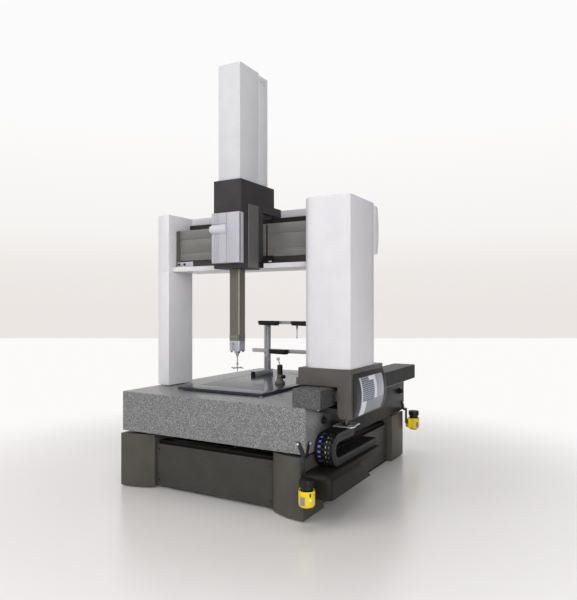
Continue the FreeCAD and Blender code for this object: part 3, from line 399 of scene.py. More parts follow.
@dataclass(frozen=True)
class FinishSet:
    """Every finish on the machine, each under the part of the machine that wears it."""

    # Coated steel: even, slightly rough browns and greys that keep their highlights wide.
    base: Paint = Paint("powder coated steel", "504d47", "474540", 0.42, 2.2, 0.05)
    panel: Paint = Paint("satin coated sheet steel", "43413e", "3d3b38", 0.45, 1.6, 0.03, 0.0,
                         0.25)
    tray: Paint = Paint("powder coated sheet steel", "22201c", "1e1c18", 0.48, 1.6, 0.03, 0.0,
                        0.2)
    # Painted shade for the channel along the beam's foot and the gap above the beam.
    channel: Paint = Paint("black brown painted gap shade", "37322f", "2f2b28", 0.45)
    stop: Paint = Paint("umber grey enamel", "5b5650", "534f49", 0.4)
    # Sealant in joints, and painted shade in the front cover's flutes and on its right side: dull
    # and a little darker than the enamel beside it, a thin line.
    seam: Paint = Paint("grey joint sealant", "8f8c92", "858288", 0.6)
    shade: Paint = Paint("dark grey joint sealant", "77757c", "6c6a71", 0.6)
    # Enamel on the covers: smooth pale greys with a soft sheen, each cover a shade apart.
    leg: Paint = Paint("light grey enamel", "e2e0e4", "dddbe0", 0.38, 1.4, 0.02)
    hood: Paint = Paint("soft grey enamel", "d9dadd", "d4d4d8", 0.38, 1.4, 0.02)
    pale: Paint = Paint("pale grey enamel", "eae9ec", "e5e4e8", 0.38, 1.4, 0.02)
    # Textured dark enamel: rougher, so that the housings look dull beside the covers.
    cart: Paint = Paint("dark textured enamel", "3f3d3e", "393738", 0.5, 1.5, 0.06, 0.0, 0.25)
    # The foot's side frame is darker than the foot by painted shade, as it faces right.
    frame: Paint = Paint("foot enamel with painted side shade", "343130", "2e2b2a", 0.45, 1.5, 0.05)
    foot: Paint = Paint("dark brown grey enamel", "555250", "4f4c4a", 0.42, 1.5, 0.05)
    band: Paint = Paint("mid grey enamel", "636062", "5d5a5c", 0.42)
    # Silver and blue grey enamel on the front cover and the foot's ribbed cover: smoother,
    # with a clear light edge where they turn.
    silver: Paint = Paint("silver grey enamel", "c0bfc6", "b8b7bf", 0.34, 1.0, 0.02)
    shield: Paint = Paint("blue grey enamel", "8b919c", "838994", 0.34, 1.0, 0.02)
    trim: Paint = Paint("pale silver enamel", "d6d7de", "cfd0d8", 0.32, 1.0, 0.02)
    printed: PrintedTrim = PrintedTrim()
    # Painted shade for the gaps between the foot cover's ribs and for its rear notches.
    slot: Paint = Paint("slate grey painted slot shade", "555b67", "4f5560", 0.5)
    rib: Paint = Paint("bright blue grey enamel", "aab0bb", "a2a8b3", 0.4)
    # Treated steel: a matt, greenish phosphate skin, and a black oxide that stays dark.
    olive: Paint = Paint("olive grey phosphated steel", "76746a", "6b6960", 0.45)
    oxide: Paint = Paint("black oxide steel", "222222", "1b1b1b", 0.36, 0.8, 0.02)
    # A hard gloss coat: a dark plate that mirrors the wall behind it.
    plate: Paint = Paint("glossy hard coated plate", "3c404c", "363a46", 0.2, 0.9, 0.01, 0.0,
                         0.2)
    # Granite: speckled, with painted shade and less specular sheen on the faces that look to the
    # right.
    granite: Granite = Granite()
    # The guide rail: a darker granite, with the painted shade full on its right faces along its
    # whole length.
    guide: Granite = Granite("guide granite with painted side shade", 3.6, 0.5, "bdbdbd", "c8c6c4",
                             (-1.2, -1.1), 0.06)
    # Anodised and drawn aluminium: olive greys with long fine streaks along the extrusion.
    beam: Metal = Metal("hard anodised aluminium", "83827f", "787674", 0.42, 0.3, Axis.X)
    ram: Metal = Metal("hard anodised extrusion", "716e63", "646157", 0.4, 0.35, Axis.Z)
    edge: Metal = Metal("machined extrusion edge", "888272", "7d7769", 0.42, 0.3, Axis.Z)
    band_metal: Metal = Metal("anodised clamping band", "7d7b70", "6d6b61", 0.38, 0.4, Axis.X)
    profile: Metal = Metal("natural anodised profile", "cccdcf", "b9bbbd", 0.36, 0.5)
    # Bare and plated metals: brighter, with sharper highlights than the anodised ones.
    bright: Metal = Metal("bright zinc plated steel", "ececee", "dcdde0", 0.28, 0.3)
    bare: Metal = Metal("turned aluminium", "c8c9cb", "b4b5b8", 0.3, 1.0, Axis.X)
    head: Metal = Metal("bead blasted aluminium", "bcbec5", "aeb0b8", 0.36, 0.7)
    carbide: Metal = Metal("ground tungsten carbide", "a9aaae", "8f9094", 0.3, 0.6)
    steel: Metal = Metal("ground steel", "c9c9ca", "b2b2b4", 0.24)
    zinc: Metal = Metal("zinc plated steel", "cfcfd0", "b5b6b8", 0.3)
    # Moulded black parts and rubber: dark with a wide, weak highlight.
    black: Plastic = Plastic("moulded polyamide", "17171a", 0.42)
    rubber: Plastic = Plastic("cast rubber", "141414", 0.7)
    # Sheaths of hoses and cables: smooth, with one bright line along each.
    hose: Plastic = Plastic("blue polyurethane hose", "8488f4", 0.28)
    signal: Plastic = Plastic("green and yellow cable sheath", "c0c49a", 0.4)
    grey: Plastic = Plastic("grey cable sheath", "6c6f72", 0.42)
    # The scanners: a strong yellow shell, and a smooth grey cover over the display.
    yellow: Plastic = Plastic("yellow moulded housing", "f0d21c", 0.32)
    display: Plastic = Plastic("grey display cover", "8d8a97", 0.2)
    # Polished balls and the lamp: a clear coat gives each a small sharp highlight.
    ruby: Plastic = Plastic("synthetic ruby", "a4152c", 0.1, 0.4, 0.0, 1.0)
    ceramic: Plastic = Plastic("lapped ceramic", "ecebe4", 0.14, 0.4, 0.0, 0.6)


class Workshop:
    """Holds the finishes and makes, dresses and places pieces."""

    def __init__(self) -> None:
        """Build each finish once and keep it under its field's name."""
        finishes = FinishSet()
        self.paints = {name: getattr(finishes, name).material()
                       for name in FinishSet.__dataclass_fields__}

    def dress(self, piece: bpy.types.Object, finish: str) -> bpy.types.Object:
        """Give a piece one finish in place of any it has.

        Args:
            piece: The mesh object.
            finish: The finish's field name.

        Returns:
            The same piece.
        """
        piece.data.materials.clear()
        piece.data.materials.append(self.paints[finish])
        return piece

    def paint_node(self, node: str, finish: str) -> None:
        """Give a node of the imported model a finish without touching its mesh.

        Args:
            node: The node's name.
            finish: The finish's field name.
        """
        target = bpy.data.objects[node]
        for place in range(len(target.material_slots)):
            target.material_slots[place].material = self.paints[finish]
        LOG.info("finished node %s in %s", node, finish)

    def soften(self, node: str, body: str, finish: str, width_mm: float) -> bpy.types.Object:
        """Replace a node with a copy whose sharp edges are rounded.

        Args:
            node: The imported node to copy.
            body: The body that the copy rides on.
            finish: The finish's field name.
            width_mm: The width of the rounding.

        Returns:
            The rounded copy.
        """
        copy = clone(bpy.data.objects[node], "fine_" + node)
        weld(copy)
        round_edges(copy, width_mm)
        return self.add_piece(copy, body, finish, node)

    def add_piece(self, piece: bpy.types.Object, body: str, finish: str | None,
                  *nodes: str) -> bpy.types.Object:
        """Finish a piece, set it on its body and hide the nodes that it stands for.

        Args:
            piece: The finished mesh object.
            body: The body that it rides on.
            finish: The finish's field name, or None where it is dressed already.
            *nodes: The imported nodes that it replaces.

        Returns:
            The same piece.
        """
        if finish:
            self.dress(piece, finish)
        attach(piece, body)
        if nodes:
            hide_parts(*nodes)
        LOG.info("placed %s on %s", piece.name, body)
        return piece


def only(piece: bpy.types.Object) -> None:
    """Select one object alone and make it active.

    Args:
        piece: The object.
    """
    bpy.ops.object.select_all(action="DESELECT")
    piece.select_set(True)
    bpy.context.view_layer.objects.active = piece


def clone(source: bpy.types.Object, name: str) -> bpy.types.Object:
    """Copy an object together with its mesh.

    Args:
        source: The object to copy.
        name: The copy's name.

    Returns:
        The copy, linked into the scene.
    """
    copy = bpy.data.objects.new(name, source.data.copy())
    bpy.context.collection.objects.link(copy)
    return copy


def weld(piece: bpy.types.Object) -> None:
    """Merge a mesh of loose triangles and join its flat faces.

    Args:
        piece: The mesh object.
    """
    only(piece)
    bpy.ops.object.mode_set(mode="EDIT")
    bpy.ops.mesh.select_all(action="SELECT")
    bpy.ops.mesh.remove_doubles(threshold=WELD_REACH)
    bpy.ops.mesh.dissolve_limited(angle_limit=math.radians(1.0))
    bpy.ops.mesh.normals_make_consistent(inside=False)
    bpy.ops.object.mode_set(mode="OBJECT")


def apply_modifier(piece: bpy.types.Object, kind: str, **settings: Any) -> None:
    """Add one modifier and apply it.

    Args:
        piece: The mesh object.
        kind: The modifier's type name.
        **settings: The modifier's properties.
    """
    only(piece)
    modifier = piece.modifiers.new("step", kind)
    for name, value in settings.items():
        setattr(modifier, name, value)
    bpy.ops.object.modifier_apply(modifier=modifier.name)


def round_edges(piece: bpy.types.Object, width_mm: float, segments: int = 3) -> None:
    """Round every sharp edge, then shade the result smoothly.

    Args:
        piece: The mesh object.
        width_mm: The width of the rounding.
        segments: How many faces each rounding has.
    """
    apply_modifier(piece, "BEVEL", width=width_mm * MM, segments=segments,
                   limit_method="ANGLE", angle_limit=math.radians(ROUND_FROM),
                   use_clamp_overlap=True, harden_normals=False)
    smooth(piece)


def smooth(piece: bpy.types.Object, angle: float = CRISP_FROM) -> None:
    """Shade a piece smoothly except across its sharp edges."""
    only(piece)
    bpy.ops.object.shade_smooth_by_angle(angle=math.radians(angle))


def place_mesh(piece: bpy.types.Object, name: str) -> bpy.types.Object:
    """Name a new primitive and move its place into its mesh.

    Args:
        piece: The new primitive.
        name: Its name.

    Returns:
        The same primitive, now at the origin.
    """
    piece.name = name
    piece.data.name = name
    only(piece)
    bpy.ops.object.transform_apply(location=True, rotation=True, scale=True)
    return piece


def join(name: str, pieces: Iterable[bpy.types.Object]) -> bpy.types.Object:
    """Join several meshes into one object, each keeping its finishes.

    Args:
        name: The joined object's name.
        pieces: The meshes, of which the first takes in the others.

    Returns:
        The joined object.
    """
    parts = list(pieces)
    bpy.ops.object.select_all(action="DESELECT")
    for part in parts:
        part.select_set(True)
    bpy.context.view_layer.objects.active = parts[0]
    if len(parts) > 1:
        bpy.ops.object.join()
    joined = bpy.context.active_object
    joined.name = name
    return joined


def copies(source: bpy.types.Object, places: Iterable[Sequence[float]],
           name: str) -> bpy.types.Object:
    """Copy a small mesh to several places and join the copies, leaving no original.

    Args:
        source: The small mesh, modelled at the origin.
        places: Where each copy goes, in metres.
        name: The joined piece's name.

    Returns:
        The joined copies.
    """
    made = []
    for spot in places:
        copy = clone(source, name)
        copy.data.transform(Matrix.Translation(Vector(spot)))
        made.append(copy)
    bpy.data.objects.remove(source)
    return join(name, made)


def block_mm(name: str, x: Span, y: Span, z: Span) -> bpy.types.Object:
    """Start a piece as a block.

    Args:
        name: The piece's name.
        x: Its span across the machine, in millimetres.
        y: Its span along the machine, in millimetres.
        z: Its span upwards, in millimetres.

    Returns:
        The block.
    """
    low, high = ([span[end] * MM for span in (x, y, z)] for end in (0, 1))
    bpy.ops.object.select_all(action="DESELECT")
    middle = [(a + b) / 2 for a, b in zip(low, high)]
    bpy.ops.mesh.primitive_cube_add(size=1.0, location=middle)
    piece = bpy.context.active_object
    piece.scale = [b - a for a, b in zip(low, high)]
    return place_mesh(piece, name)


def bar_mm(name: str, radius: float, axis: Axis, along: Span, across: Sequence[float],
           sides: int = 40) -> bpy.types.Object:
    """Start a piece as a round bar.

    Args:
        name: The piece's name.
        radius: Its radius in millimetres.
        axis: The axis that it lies along.
        along: Its span on that axis, in millimetres.
        across: Its place on the two other axes, in millimetres.
        sides: How many faces go round it.

    Returns:
        The bar.
    """
    turn = {Axis.X: (0, math.pi / 2, 0), Axis.Y: (math.pi / 2, 0, 0), Axis.Z: (0, 0, 0)}
    start, end = along[0] * MM, along[1] * MM
    spot = [value * MM for value in across]
    spot.insert(axis.value, (start + end) / 2)
    bpy.ops.object.select_all(action="DESELECT")
    bpy.ops.mesh.primitive_cylinder_add(
        vertices=sides, radius=radius * MM, depth=abs(end - start), location=spot,
        rotation=turn[axis])
    return place_mesh(bpy.context.active_object, name)


def ball_mm(name: str, radius: float, centre: Sequence[float]) -> bpy.types.Object:
    """Make a smooth ball.

    Args:
        name: The ball's name.
        radius: Its radius in millimetres.
        centre: Its centre in millimetres.

    Returns:
        The ball.
    """
    bpy.ops.object.select_all(action="DESELECT")
    bpy.ops.mesh.primitive_uv_sphere_add(
        segments=32, ring_count=16, radius=radius * MM,
        location=[value * MM for value in centre])
    ball = place_mesh(bpy.context.active_object, name)
    smooth(ball)
    return ball


class Pick(Enum):
    """What a selection is made of."""

    FACES = "FACE"
    EDGES = "EDGE"


def clear_picks(piece: bpy.types.Object, kind: Pick) -> None:
    """Deselect all of a mesh and set what the next selection is made of.

    Args:
        piece: The mesh object.
        kind: Faces or edges.
    """
    only(piece)
    bpy.ops.object.mode_set(mode="EDIT")
    bpy.ops.mesh.select_mode(type=kind.value)
    bpy.ops.mesh.select_all(action="DESELECT")
    bpy.ops.object.mode_set(mode="OBJECT")


def pick_faces(piece: bpy.types.Object, test: Callable[[Any], bool]) -> None:
    """Enter edit mode with some faces selected alone.

    Args:
        piece: The mesh object.
        test: Says of a face whether it is selected.
    """
    clear_picks(piece, Pick.FACES)
    for face in piece.data.polygons:
        face.select = test(face)
    bpy.ops.object.mode_set(mode="EDIT")


def pick_edges(piece: bpy.types.Object, test: Callable[[Vector, Vector], bool]) -> None:
    """Enter edit mode with some edges selected alone.

    Args:
        piece: The mesh object.
        test: Says of an edge's two ends whether it is selected.
    """
    clear_picks(piece, Pick.EDGES)
    points = piece.data.vertices
    for edge in piece.data.edges:
        edge.select = test(points[edge.vertices[0]].co, points[edge.vertices[1]].co)
    bpy.ops.object.mode_set(mode="EDIT")


def press_face(piece: bpy.types.Object, axis: Axis, outward: int, inset_mm: float,
               depth_mm: float) -> None:
    """Inset the outermost face along an axis, then move it in or out.

    Args:
        piece: The mesh object.
        axis: The axis that the face looks along.
        outward: 1 or -1, the way the face looks.
        inset_mm: How far the new face lies inside the old one.
        depth_mm: How far it is pushed in; a negative depth pulls it out.
    """
    faces = [f for f in piece.data.polygons if f.normal[axis.value] * outward > FACING]
    limit = max(face.center[axis.value] * outward for face in faces)
    pick_faces(piece, lambda face: face.normal[axis.value] * outward > FACING
               and abs(face.center[axis.value] * outward - limit) < 1e-5)
    bpy.ops.mesh.inset(thickness=inset_mm * MM)
    move = [0.0, 0.0, 0.0]
    move[axis.value] = -depth_mm * MM * outward
    bpy.ops.mesh.extrude_region_move(TRANSFORM_OT_translate={"value": move})
    bpy.ops.object.mode_set(mode="OBJECT")


def bevel_edges(piece: bpy.types.Object, test: Callable[[Vector, Vector], bool],
                width_mm: float, segments: int) -> None:
    """Bevel some edges alone.

    Args:
        piece: The mesh object.
        test: Says of an edge's two ends whether it is bevelled.
        width_mm: The bevel's width.
        segments: How many faces the bevel has.
    """
    pick_edges(piece, test)
    bpy.ops.mesh.bevel(offset=width_mm * MM, segments=segments, affect="EDGES",
                       clamp_overlap=True)
    bpy.ops.object.mode_set(mode="OBJECT")


def carve(piece: bpy.types.Object, tool: bpy.types.Object) -> None:
    """Take a tool's shape out of a piece and remove the tool."""
    apply_modifier(piece, "BOOLEAN", object=tool, operation="DIFFERENCE", solver="EXACT")
    bpy.data.objects.remove(tool)


def upright(first: Vector, second: Vector) -> bool:
    """Tell whether an edge stands upright."""
    return abs(first.x - second.x) + abs(first.y - second.y) < 1e-6


class Screws:
    """Socket head screws, modelled once and copied to their places."""

    def __init__(self, shop: Workshop) -> None:
        """Keep the workshop."""
        self.shop = shop

    def row(self, name: str, radius_mm: float, axis: Axis, outward: int,
            places: Sequence[Sequence[float]], body: str, finish: str) -> None:
        """Place a row of screws with their heads standing out along an axis.

        Args:
            name: The piece's name.
            radius_mm: The head's radius.
            axis: The axis that the screws point along.
            outward: 1 or -1, the side that the heads face.
            places: The points under the heads, in millimetres.
            body: The body that they ride on.
            finish: Their finish.
        """
        high = radius_mm * 0.8 * outward
        head = bar_mm(name, radius_mm, axis, (0.0, high), (0.0, 0.0), sides=24)
        press_face(head, axis, outward, radius_mm * 0.42, radius_mm * 0.5)
        round_edges(head, radius_mm * 0.08, 2)
        spots = [[value * MM for value in place] for place in places]
        self.shop.add_piece(copies(head, spots, name), body, finish)


class Unit:
    """A sub-assembly's fine pieces, made in the workshop's finishes."""

    def __init__(self, shop: Workshop, screws: Screws) -> None:
        """Keep the workshop and the screws."""
        self.shop = shop
        self.screws = screws


@dataclass(frozen=True)
class BaseSizes:
    """Where the base's fine pieces sit, in millimetres."""

    front_y: float = -820.0
    rear_y: float = 939.0
    side_x: float = 741.0
    screw_x: float = 488.0
    screw_low: float = 62.0
    screw_high: float = 296.0
    side_ys: tuple[float, ...] = (-560.0, 60.0, 680.0)
    hole_pitch: float = 100.0
    hole_radius: float = 5.5
    plate_x: Span = (-464.0, 310.0)
    plate_y: Span = (-646.0, 690.0)
    plate_top: float = 741.0
    fitting_x: float = 790.0
    fitting_ys: Span = (-642.0, 927.0)
    fitting_z: float = 600.0
    # The dark strips of painted shade in the slots under the side panels.
    strip_x: Span = (724.0, 732.0)
    strip_y: Span = (-640.0, 760.0)
    strip_z: Span = (2.0, 90.0)


class BaseUnit(Unit):
    """The steel base and the granite: panel screws, the plate's holes and the fittings."""

    sizes = BaseSizes()

    def build(self) -> None:
        """Add every fine piece of the base."""
        self.panel_screws()
        self.plate_holes()
        self.fittings()
        self.slot_shade_strips()

    def slot_shade_strips(self) -> None:
        """Close the slots between the side panels and the floor with dark strips of painted
        shade, where the inside of the base lies in shadow.
        """
        size = self.sizes
        strips = []
        for side in (-1, 1):
            strip = block_mm("strip", size.strip_x, size.strip_y, size.strip_z)
            press_face(strip, Axis.X, 1, 4.0, 0.8)
            if side < 0:
                strip.data.transform(Matrix.Rotation(math.pi, 4, "Z"))
                strip.data.transform(Matrix.Translation((0.0, sum(size.strip_y) * MM, 0.0)))
            round_edges(strip, 0.6, 2)
            strips.append(strip)
        self.shop.add_piece(join("base_slot_shade_strips", strips), "base", "tray")

    def panel_screws(self) -> None:
        """Hold each panel with button screws near its corners."""
        size = self.sizes
        levels = (size.screw_low, size.screw_high)
        for name, y, outward in (("front", size.front_y, -1), ("rear", size.rear_y, 1)):
            spots = [(x, y, z) for x in (-size.screw_x, size.screw_x) for z in levels]
            self.screws.row(name + "_panel_screws", 5.5, Axis.Y, outward, spots, "base", "oxide")
        for name, side in (("right", 1), ("left", -1)):
            spots = [(side * size.side_x, y, z) for y in size.side_ys for z in levels]
            self.screws.row(name + "_panel_screws", 5.5, Axis.X, side, spots, "base", "oxide")

    def plate_holes(self) -> None:
        """Set the grid of fixing holes in the glossy plate."""
        size = self.sizes
        ring = bar_mm("plate_holes", size.hole_radius, Axis.Z,
                      (size.plate_top - 2.0, size.plate_top + 0.3), (0.0, 0.0), sides=20)
        press_face(ring, Axis.Z, 1, size.hole_radius * 0.3, 1.6)
        count_x = int((size.plate_x[1] - size.plate_x[0]) // size.hole_pitch)
        count_y = int((size.plate_y[1] - size.plate_y[0]) // size.hole_pitch)
        start_x = sum(size.plate_x) / 2 - (count_x - 1) * size.hole_pitch / 2
        start_y = sum(size.plate_y) / 2 - (count_y - 1) * size.hole_pitch / 2
        spots = [((start_x + i * size.hole_pitch) * MM, (start_y + k * size.hole_pitch) * MM, 0.0)
                 for i in range(count_x) for k in range(count_y)]
        self.shop.add_piece(copies(ring, spots, "plate_holes"), "base", "oxide")

    def fittings(self) -> None:
        """Shape the transport fittings: a flanged boss with a socketed, slotted knob."""
        size = self.sizes
        parts = []
        for y in size.fitting_ys:
            spot = (y, size.fitting_z)
            flange = bar_mm("fitting_flange", 27.0, Axis.X,
                            (size.fitting_x, size.fitting_x + 13.0), spot)
            press_face(flange, Axis.X, 1, 4.0, 3.0)
            knob = bar_mm("fitting_knob", 17.0, Axis.X,
                          (size.fitting_x, size.fitting_x + 34.0), spot, sides=28)
            press_face(knob, Axis.X, 1, 6.5, 9.0)
            slot = block_mm("fitting_slot", (size.fitting_x + 26.0, size.fitting_x + 36.0),
                            (y - 20.0, y + 20.0), (size.fitting_z - 2.5, size.fitting_z + 2.5))
            carve(knob, slot)
            parts += [flange, knob]
        fitting = join("fine_transport_fittings", parts)
        round_edges(fitting, 1.0, 2)
        self.shop.add_piece(fitting, "base", "oxide", "transport_fittings")


@dataclass(frozen=True)
class ChainSizes:
    """The cable chain's sizes in millimetres."""

    left: float = 797.0
    wide: float = 126.0
    high: float = 60.0
    pitch: float = 28.0
    lower_long: float = 665.0
    upper_long: float = 245.0
    lower_links: int = 24
    turn_links: int = 10
    upper_links: int = 9
    turn_y: float = -674.0
    turn_z: float = 425.5
    inner: float = 50.0
    side: float = 4.6
    bar: float = 5.0


@dataclass(frozen=True)
class Hose:
    """One hose in the chain, in millimetres from the chain's left and inner faces."""

    name: str
    across: float
    depth: float
    radius: float
    finish: str


HOSES = (
    Hose("air_hose", 22.0, 42.0, 10.0, "hose"),
    Hose("power_cable", 58.0, 36.0, 9.0, "rubber"),
    Hose("earth_cable", 71.0, 46.0, 4.0, "signal"),
    Hose("scale_cable", 92.0, 44.0, 6.0, "grey"),
    Hose("drive_cable", 102.0, 26.0, 8.0, "rubber"),
)


class CableChain:
    """The linked cable chain with its hoses, bent round its path link by link."""

    def __init__(self, shop: Workshop) -> None:
        """Keep the workshop and work out the path's lengths.

        Args:
            shop: The workshop that dresses the pieces.
        """
        self.shop = shop
        self.sizes = ChainSizes()
        size = self.sizes
        self.lower = size.lower_long
        self.turn = math.pi * (size.inner + size.high / 2)
        self.upper = size.upper_long

    def build(self) -> None:
        """Build the three runs; only the turn rides on a body."""
        size = self.sizes
        runs = (
            ("chain_lower_run", 0.0, size.lower_links, self.lower),
            ("chain_loop", self.lower, size.turn_links, self.turn),
            ("chain_upper_run", self.lower + self.turn, size.upper_links, self.upper),
        )
        link = self.link()
        for node, start, count, length in runs:
            pitch = length / count
            parts = []
            for k in range(count):
                copy = clone(link, "link")
                self.bend(copy, start + k * pitch, pitch / size.pitch)
                parts.append(copy)
            parts += [self.hose(hose, start, start + count * pitch) for hose in HOSES]
            run = join("fine_" + node, parts)
            smooth(run, ROUND_FROM)
            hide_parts(node)
            self.carry(run, node)
        bpy.data.objects.remove(link)

    def carry(self, run: bpy.types.Object, node: str) -> None:
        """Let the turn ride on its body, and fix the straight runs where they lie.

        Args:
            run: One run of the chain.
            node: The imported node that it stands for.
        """
        if node == "chain_loop":
            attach(run, "chain_turn")
        elif node == "chain_lower_run":
            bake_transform(run)
        else:
            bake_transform(run)
        LOG.info("placed %s", run.name)

    def link(self) -> bpy.types.Object:
        """Model one straight link: offset side plates, two snap bars and two dividers.

        Returns:
            The link in its finish.
        """
        size = self.sizes
        step = size.pitch
        parts = []
        for outer, inner in (((0.0, size.side), (size.side, 2 * size.side)),
                             ((size.wide - size.side, size.wide),
                              (size.wide - 2 * size.side, size.wide - size.side))):
            for span, along in ((outer, (0.2, step - 0.2)), (inner, (step * 0.45, step * 1.3))):
                plate = block_mm("plate", span, along, (1.0, size.high - 1.0))
                only(plate)
                bpy.ops.object.mode_set(mode="EDIT")
                bpy.ops.mesh.select_all(action="SELECT")
                bpy.ops.mesh.subdivide(number_cuts=2)
                bpy.ops.object.mode_set(mode="OBJECT")
                round_edges(plate, 0.4, 2)
                parts.append(plate)
        for face in (0.0, size.wide):
            edge = (face, face + 0.8) if face else (-0.8, 0.0)
            pin = bar_mm("pin", 8.0, Axis.X, edge, (step * 0.5, size.high / 2), sides=20)
            press_face(pin, Axis.X, 1 if face else -1, 3.0, 0.5)
            parts.append(pin)
        for low in (0.0, size.high - size.bar):
            rung = block_mm("rung", (2 * size.side, size.wide - 2 * size.side),
                            (step * 0.2, step * 0.76), (low, low + size.bar))
            press_face(rung, Axis.Z, 1 if low else -1, 3.0, 1.0)
            round_edges(rung, 1.2, 2)
            parts.append(rung)
            for x in (2 * size.side, size.wide - 2 * size.side - 9.0):
                snap = block_mm("snap", (x, x + 9.0), (step * 0.12, step * 0.84),
                                (low - 0.4, low + size.bar + 0.4))
                round_edges(snap, 1.4, 2)
                parts.append(snap)
        for x in (44.0, 82.0):
            divider = block_mm("divider", (x, x + 2.6), (step * 0.3, step * 0.66),
                               (size.bar, size.high - size.bar))
            round_edges(divider, 0.8, 2)
            parts.append(divider)
        link = join("link", parts)
        return self.shop.dress(link, "black")

    def hose(self, hose: Hose, start: float, end: float) -> bpy.types.Object:
        """Extrude a ring step by step, then bend it to the path.

        Args:
            hose: The hose's place, radius and finish.
            start: How far along the path it begins, in millimetres.
            end: How far along the path it ends, in millimetres.

        Returns:
            The bent hose in its finish.
        """
        bpy.ops.object.select_all(action="DESELECT")
        bpy.ops.mesh.primitive_circle_add(
            vertices=14, radius=hose.radius * MM, fill_type="NGON",
            location=(hose.across * MM, 0.0, hose.depth * MM),
            rotation=(math.pi / 2, 0.0, 0.0))
        tube = place_mesh(bpy.context.active_object, hose.name)
        steps = max(2, int((end - start) / 12.0))
        bpy.ops.object.mode_set(mode="EDIT")
        bpy.ops.mesh.select_all(action="SELECT")
        for _ in range(steps):
            move = (0.0, (end - start) * MM / steps, 0.0)
            bpy.ops.mesh.extrude_region_move(TRANSFORM_OT_translate={"value": move})
        bpy.ops.mesh.select_all(action="SELECT")
        bpy.ops.mesh.normals_make_consistent(inside=False)
        bpy.ops.object.mode_set(mode="OBJECT")
        self.bend(tube, start, 1.0)
        return self.shop.dress(tube, hose.finish)

    def bend(self, piece: bpy.types.Object, start: float, stretch: float) -> None:
        """Move a straight piece's points onto the chain's path.

        Args:
            piece: A mesh drawn along Y, with its depth from the inner face along Z.
            start: How far along the path it begins, in millimetres.
            stretch: How much longer its pitch is on this run.
        """
        size = self.sizes
        for point in piece.data.vertices:
            x, along, depth = (value / MM for value in point.co)
            y, z = self.path(start + along * stretch, depth)
            point.co = ((size.left + x) * MM, y * MM, z * MM)

    def path(self, along: float, depth: float) -> tuple[float, float]:
        """Find a point of the chain.

        Args:
            along: Its length along the chain, in millimetres.
            depth: Its depth from the chain's inner face, in millimetres.

        Returns:
            Its Y and Z in millimetres.
        """
        size = self.sizes
        if along < self.lower:
            return size.turn_y + self.lower - along, size.turn_z - size.inner - depth
        if along > self.lower + self.turn:
            past = along - self.lower - self.turn
            return size.turn_y + past, size.turn_z + size.inner + depth
        angle = math.pi * (along - self.lower) / self.turn
        reach = size.inner + depth
        return (size.turn_y - reach * math.sin(angle), size.turn_z - reach * math.cos(angle))


@dataclass(frozen=True)
class PortalSizes:
    """Where the portal's fine pieces sit, in millimetres."""

    bracket_x: Span = (799.0, 946.0)
    bracket_y: Span = (-509.0, -429.0)
    bracket_z: Span = (535.5, 543.5)
    tail_rear: float = -345.0
    riser_x: Span = (884.0, 892.0)
    riser_top: float = 668.0
    leg_side: float = 1028.0
    leg_seam_y: float = -352.0
    leg_z: Span = (961.0, 2076.0)
    beam_front: float = -411.0
    beam_z: Span = (1736.0, 1983.0)
    end_block_x: Span = (-668.0, -630.0)
    tab_x: Span = (-656.0, -495.0)
    tab_end: float = -568.0
    tab_z: Span = (1682.5, 1726.0)
    rib_y: Span = (-632.0, -424.0)
    rib_low: float = 742.0
    rib_pitch: float = 12.8
    rib_count: int = 12
    trim_top: float = 868.0
    trim_moves: tuple[Span, ...] = ((-379.0, -422.0), (-471.0, -497.0), (-542.0, -562.0))
    roll_radius: float = 339.0
    roll_x: float = 728.0
    roll_z: float = 784.0
    notch_y: Span = (-262.0, -243.0)
    # The painted highlight on the foot cover's front right edge: its place, half width and
    # height.
    edge_highlight_spot: Span = (1034.6, -747.6)
    edge_highlight_half: float = 3.4
    edge_highlight_z: Span = (664.0, 953.0)
    # The painted shade along the beam's foot and in the gap above the beam.
    channel_x: Span = (-630.0, 671.0)
    channel_y: Span = (-412.0, -409.0)
    channel_z: Span = (1690.0, 1732.0)
    gap_x: Span = (-668.0, 671.0)
    gap_y: Span = (-239.0, -233.0)
    gap_z: Span = (1983.5, 2049.0)
    bracket_screw_xs: Span = (820.0, 862.0)
    bracket_screw_ys: Span = (-490.0, -448.0)
    stop_rear: float = -260.0
    tab_screw_xs: Span = (-636.0, -580.0)
    tab_screw_z: float = 1706.0


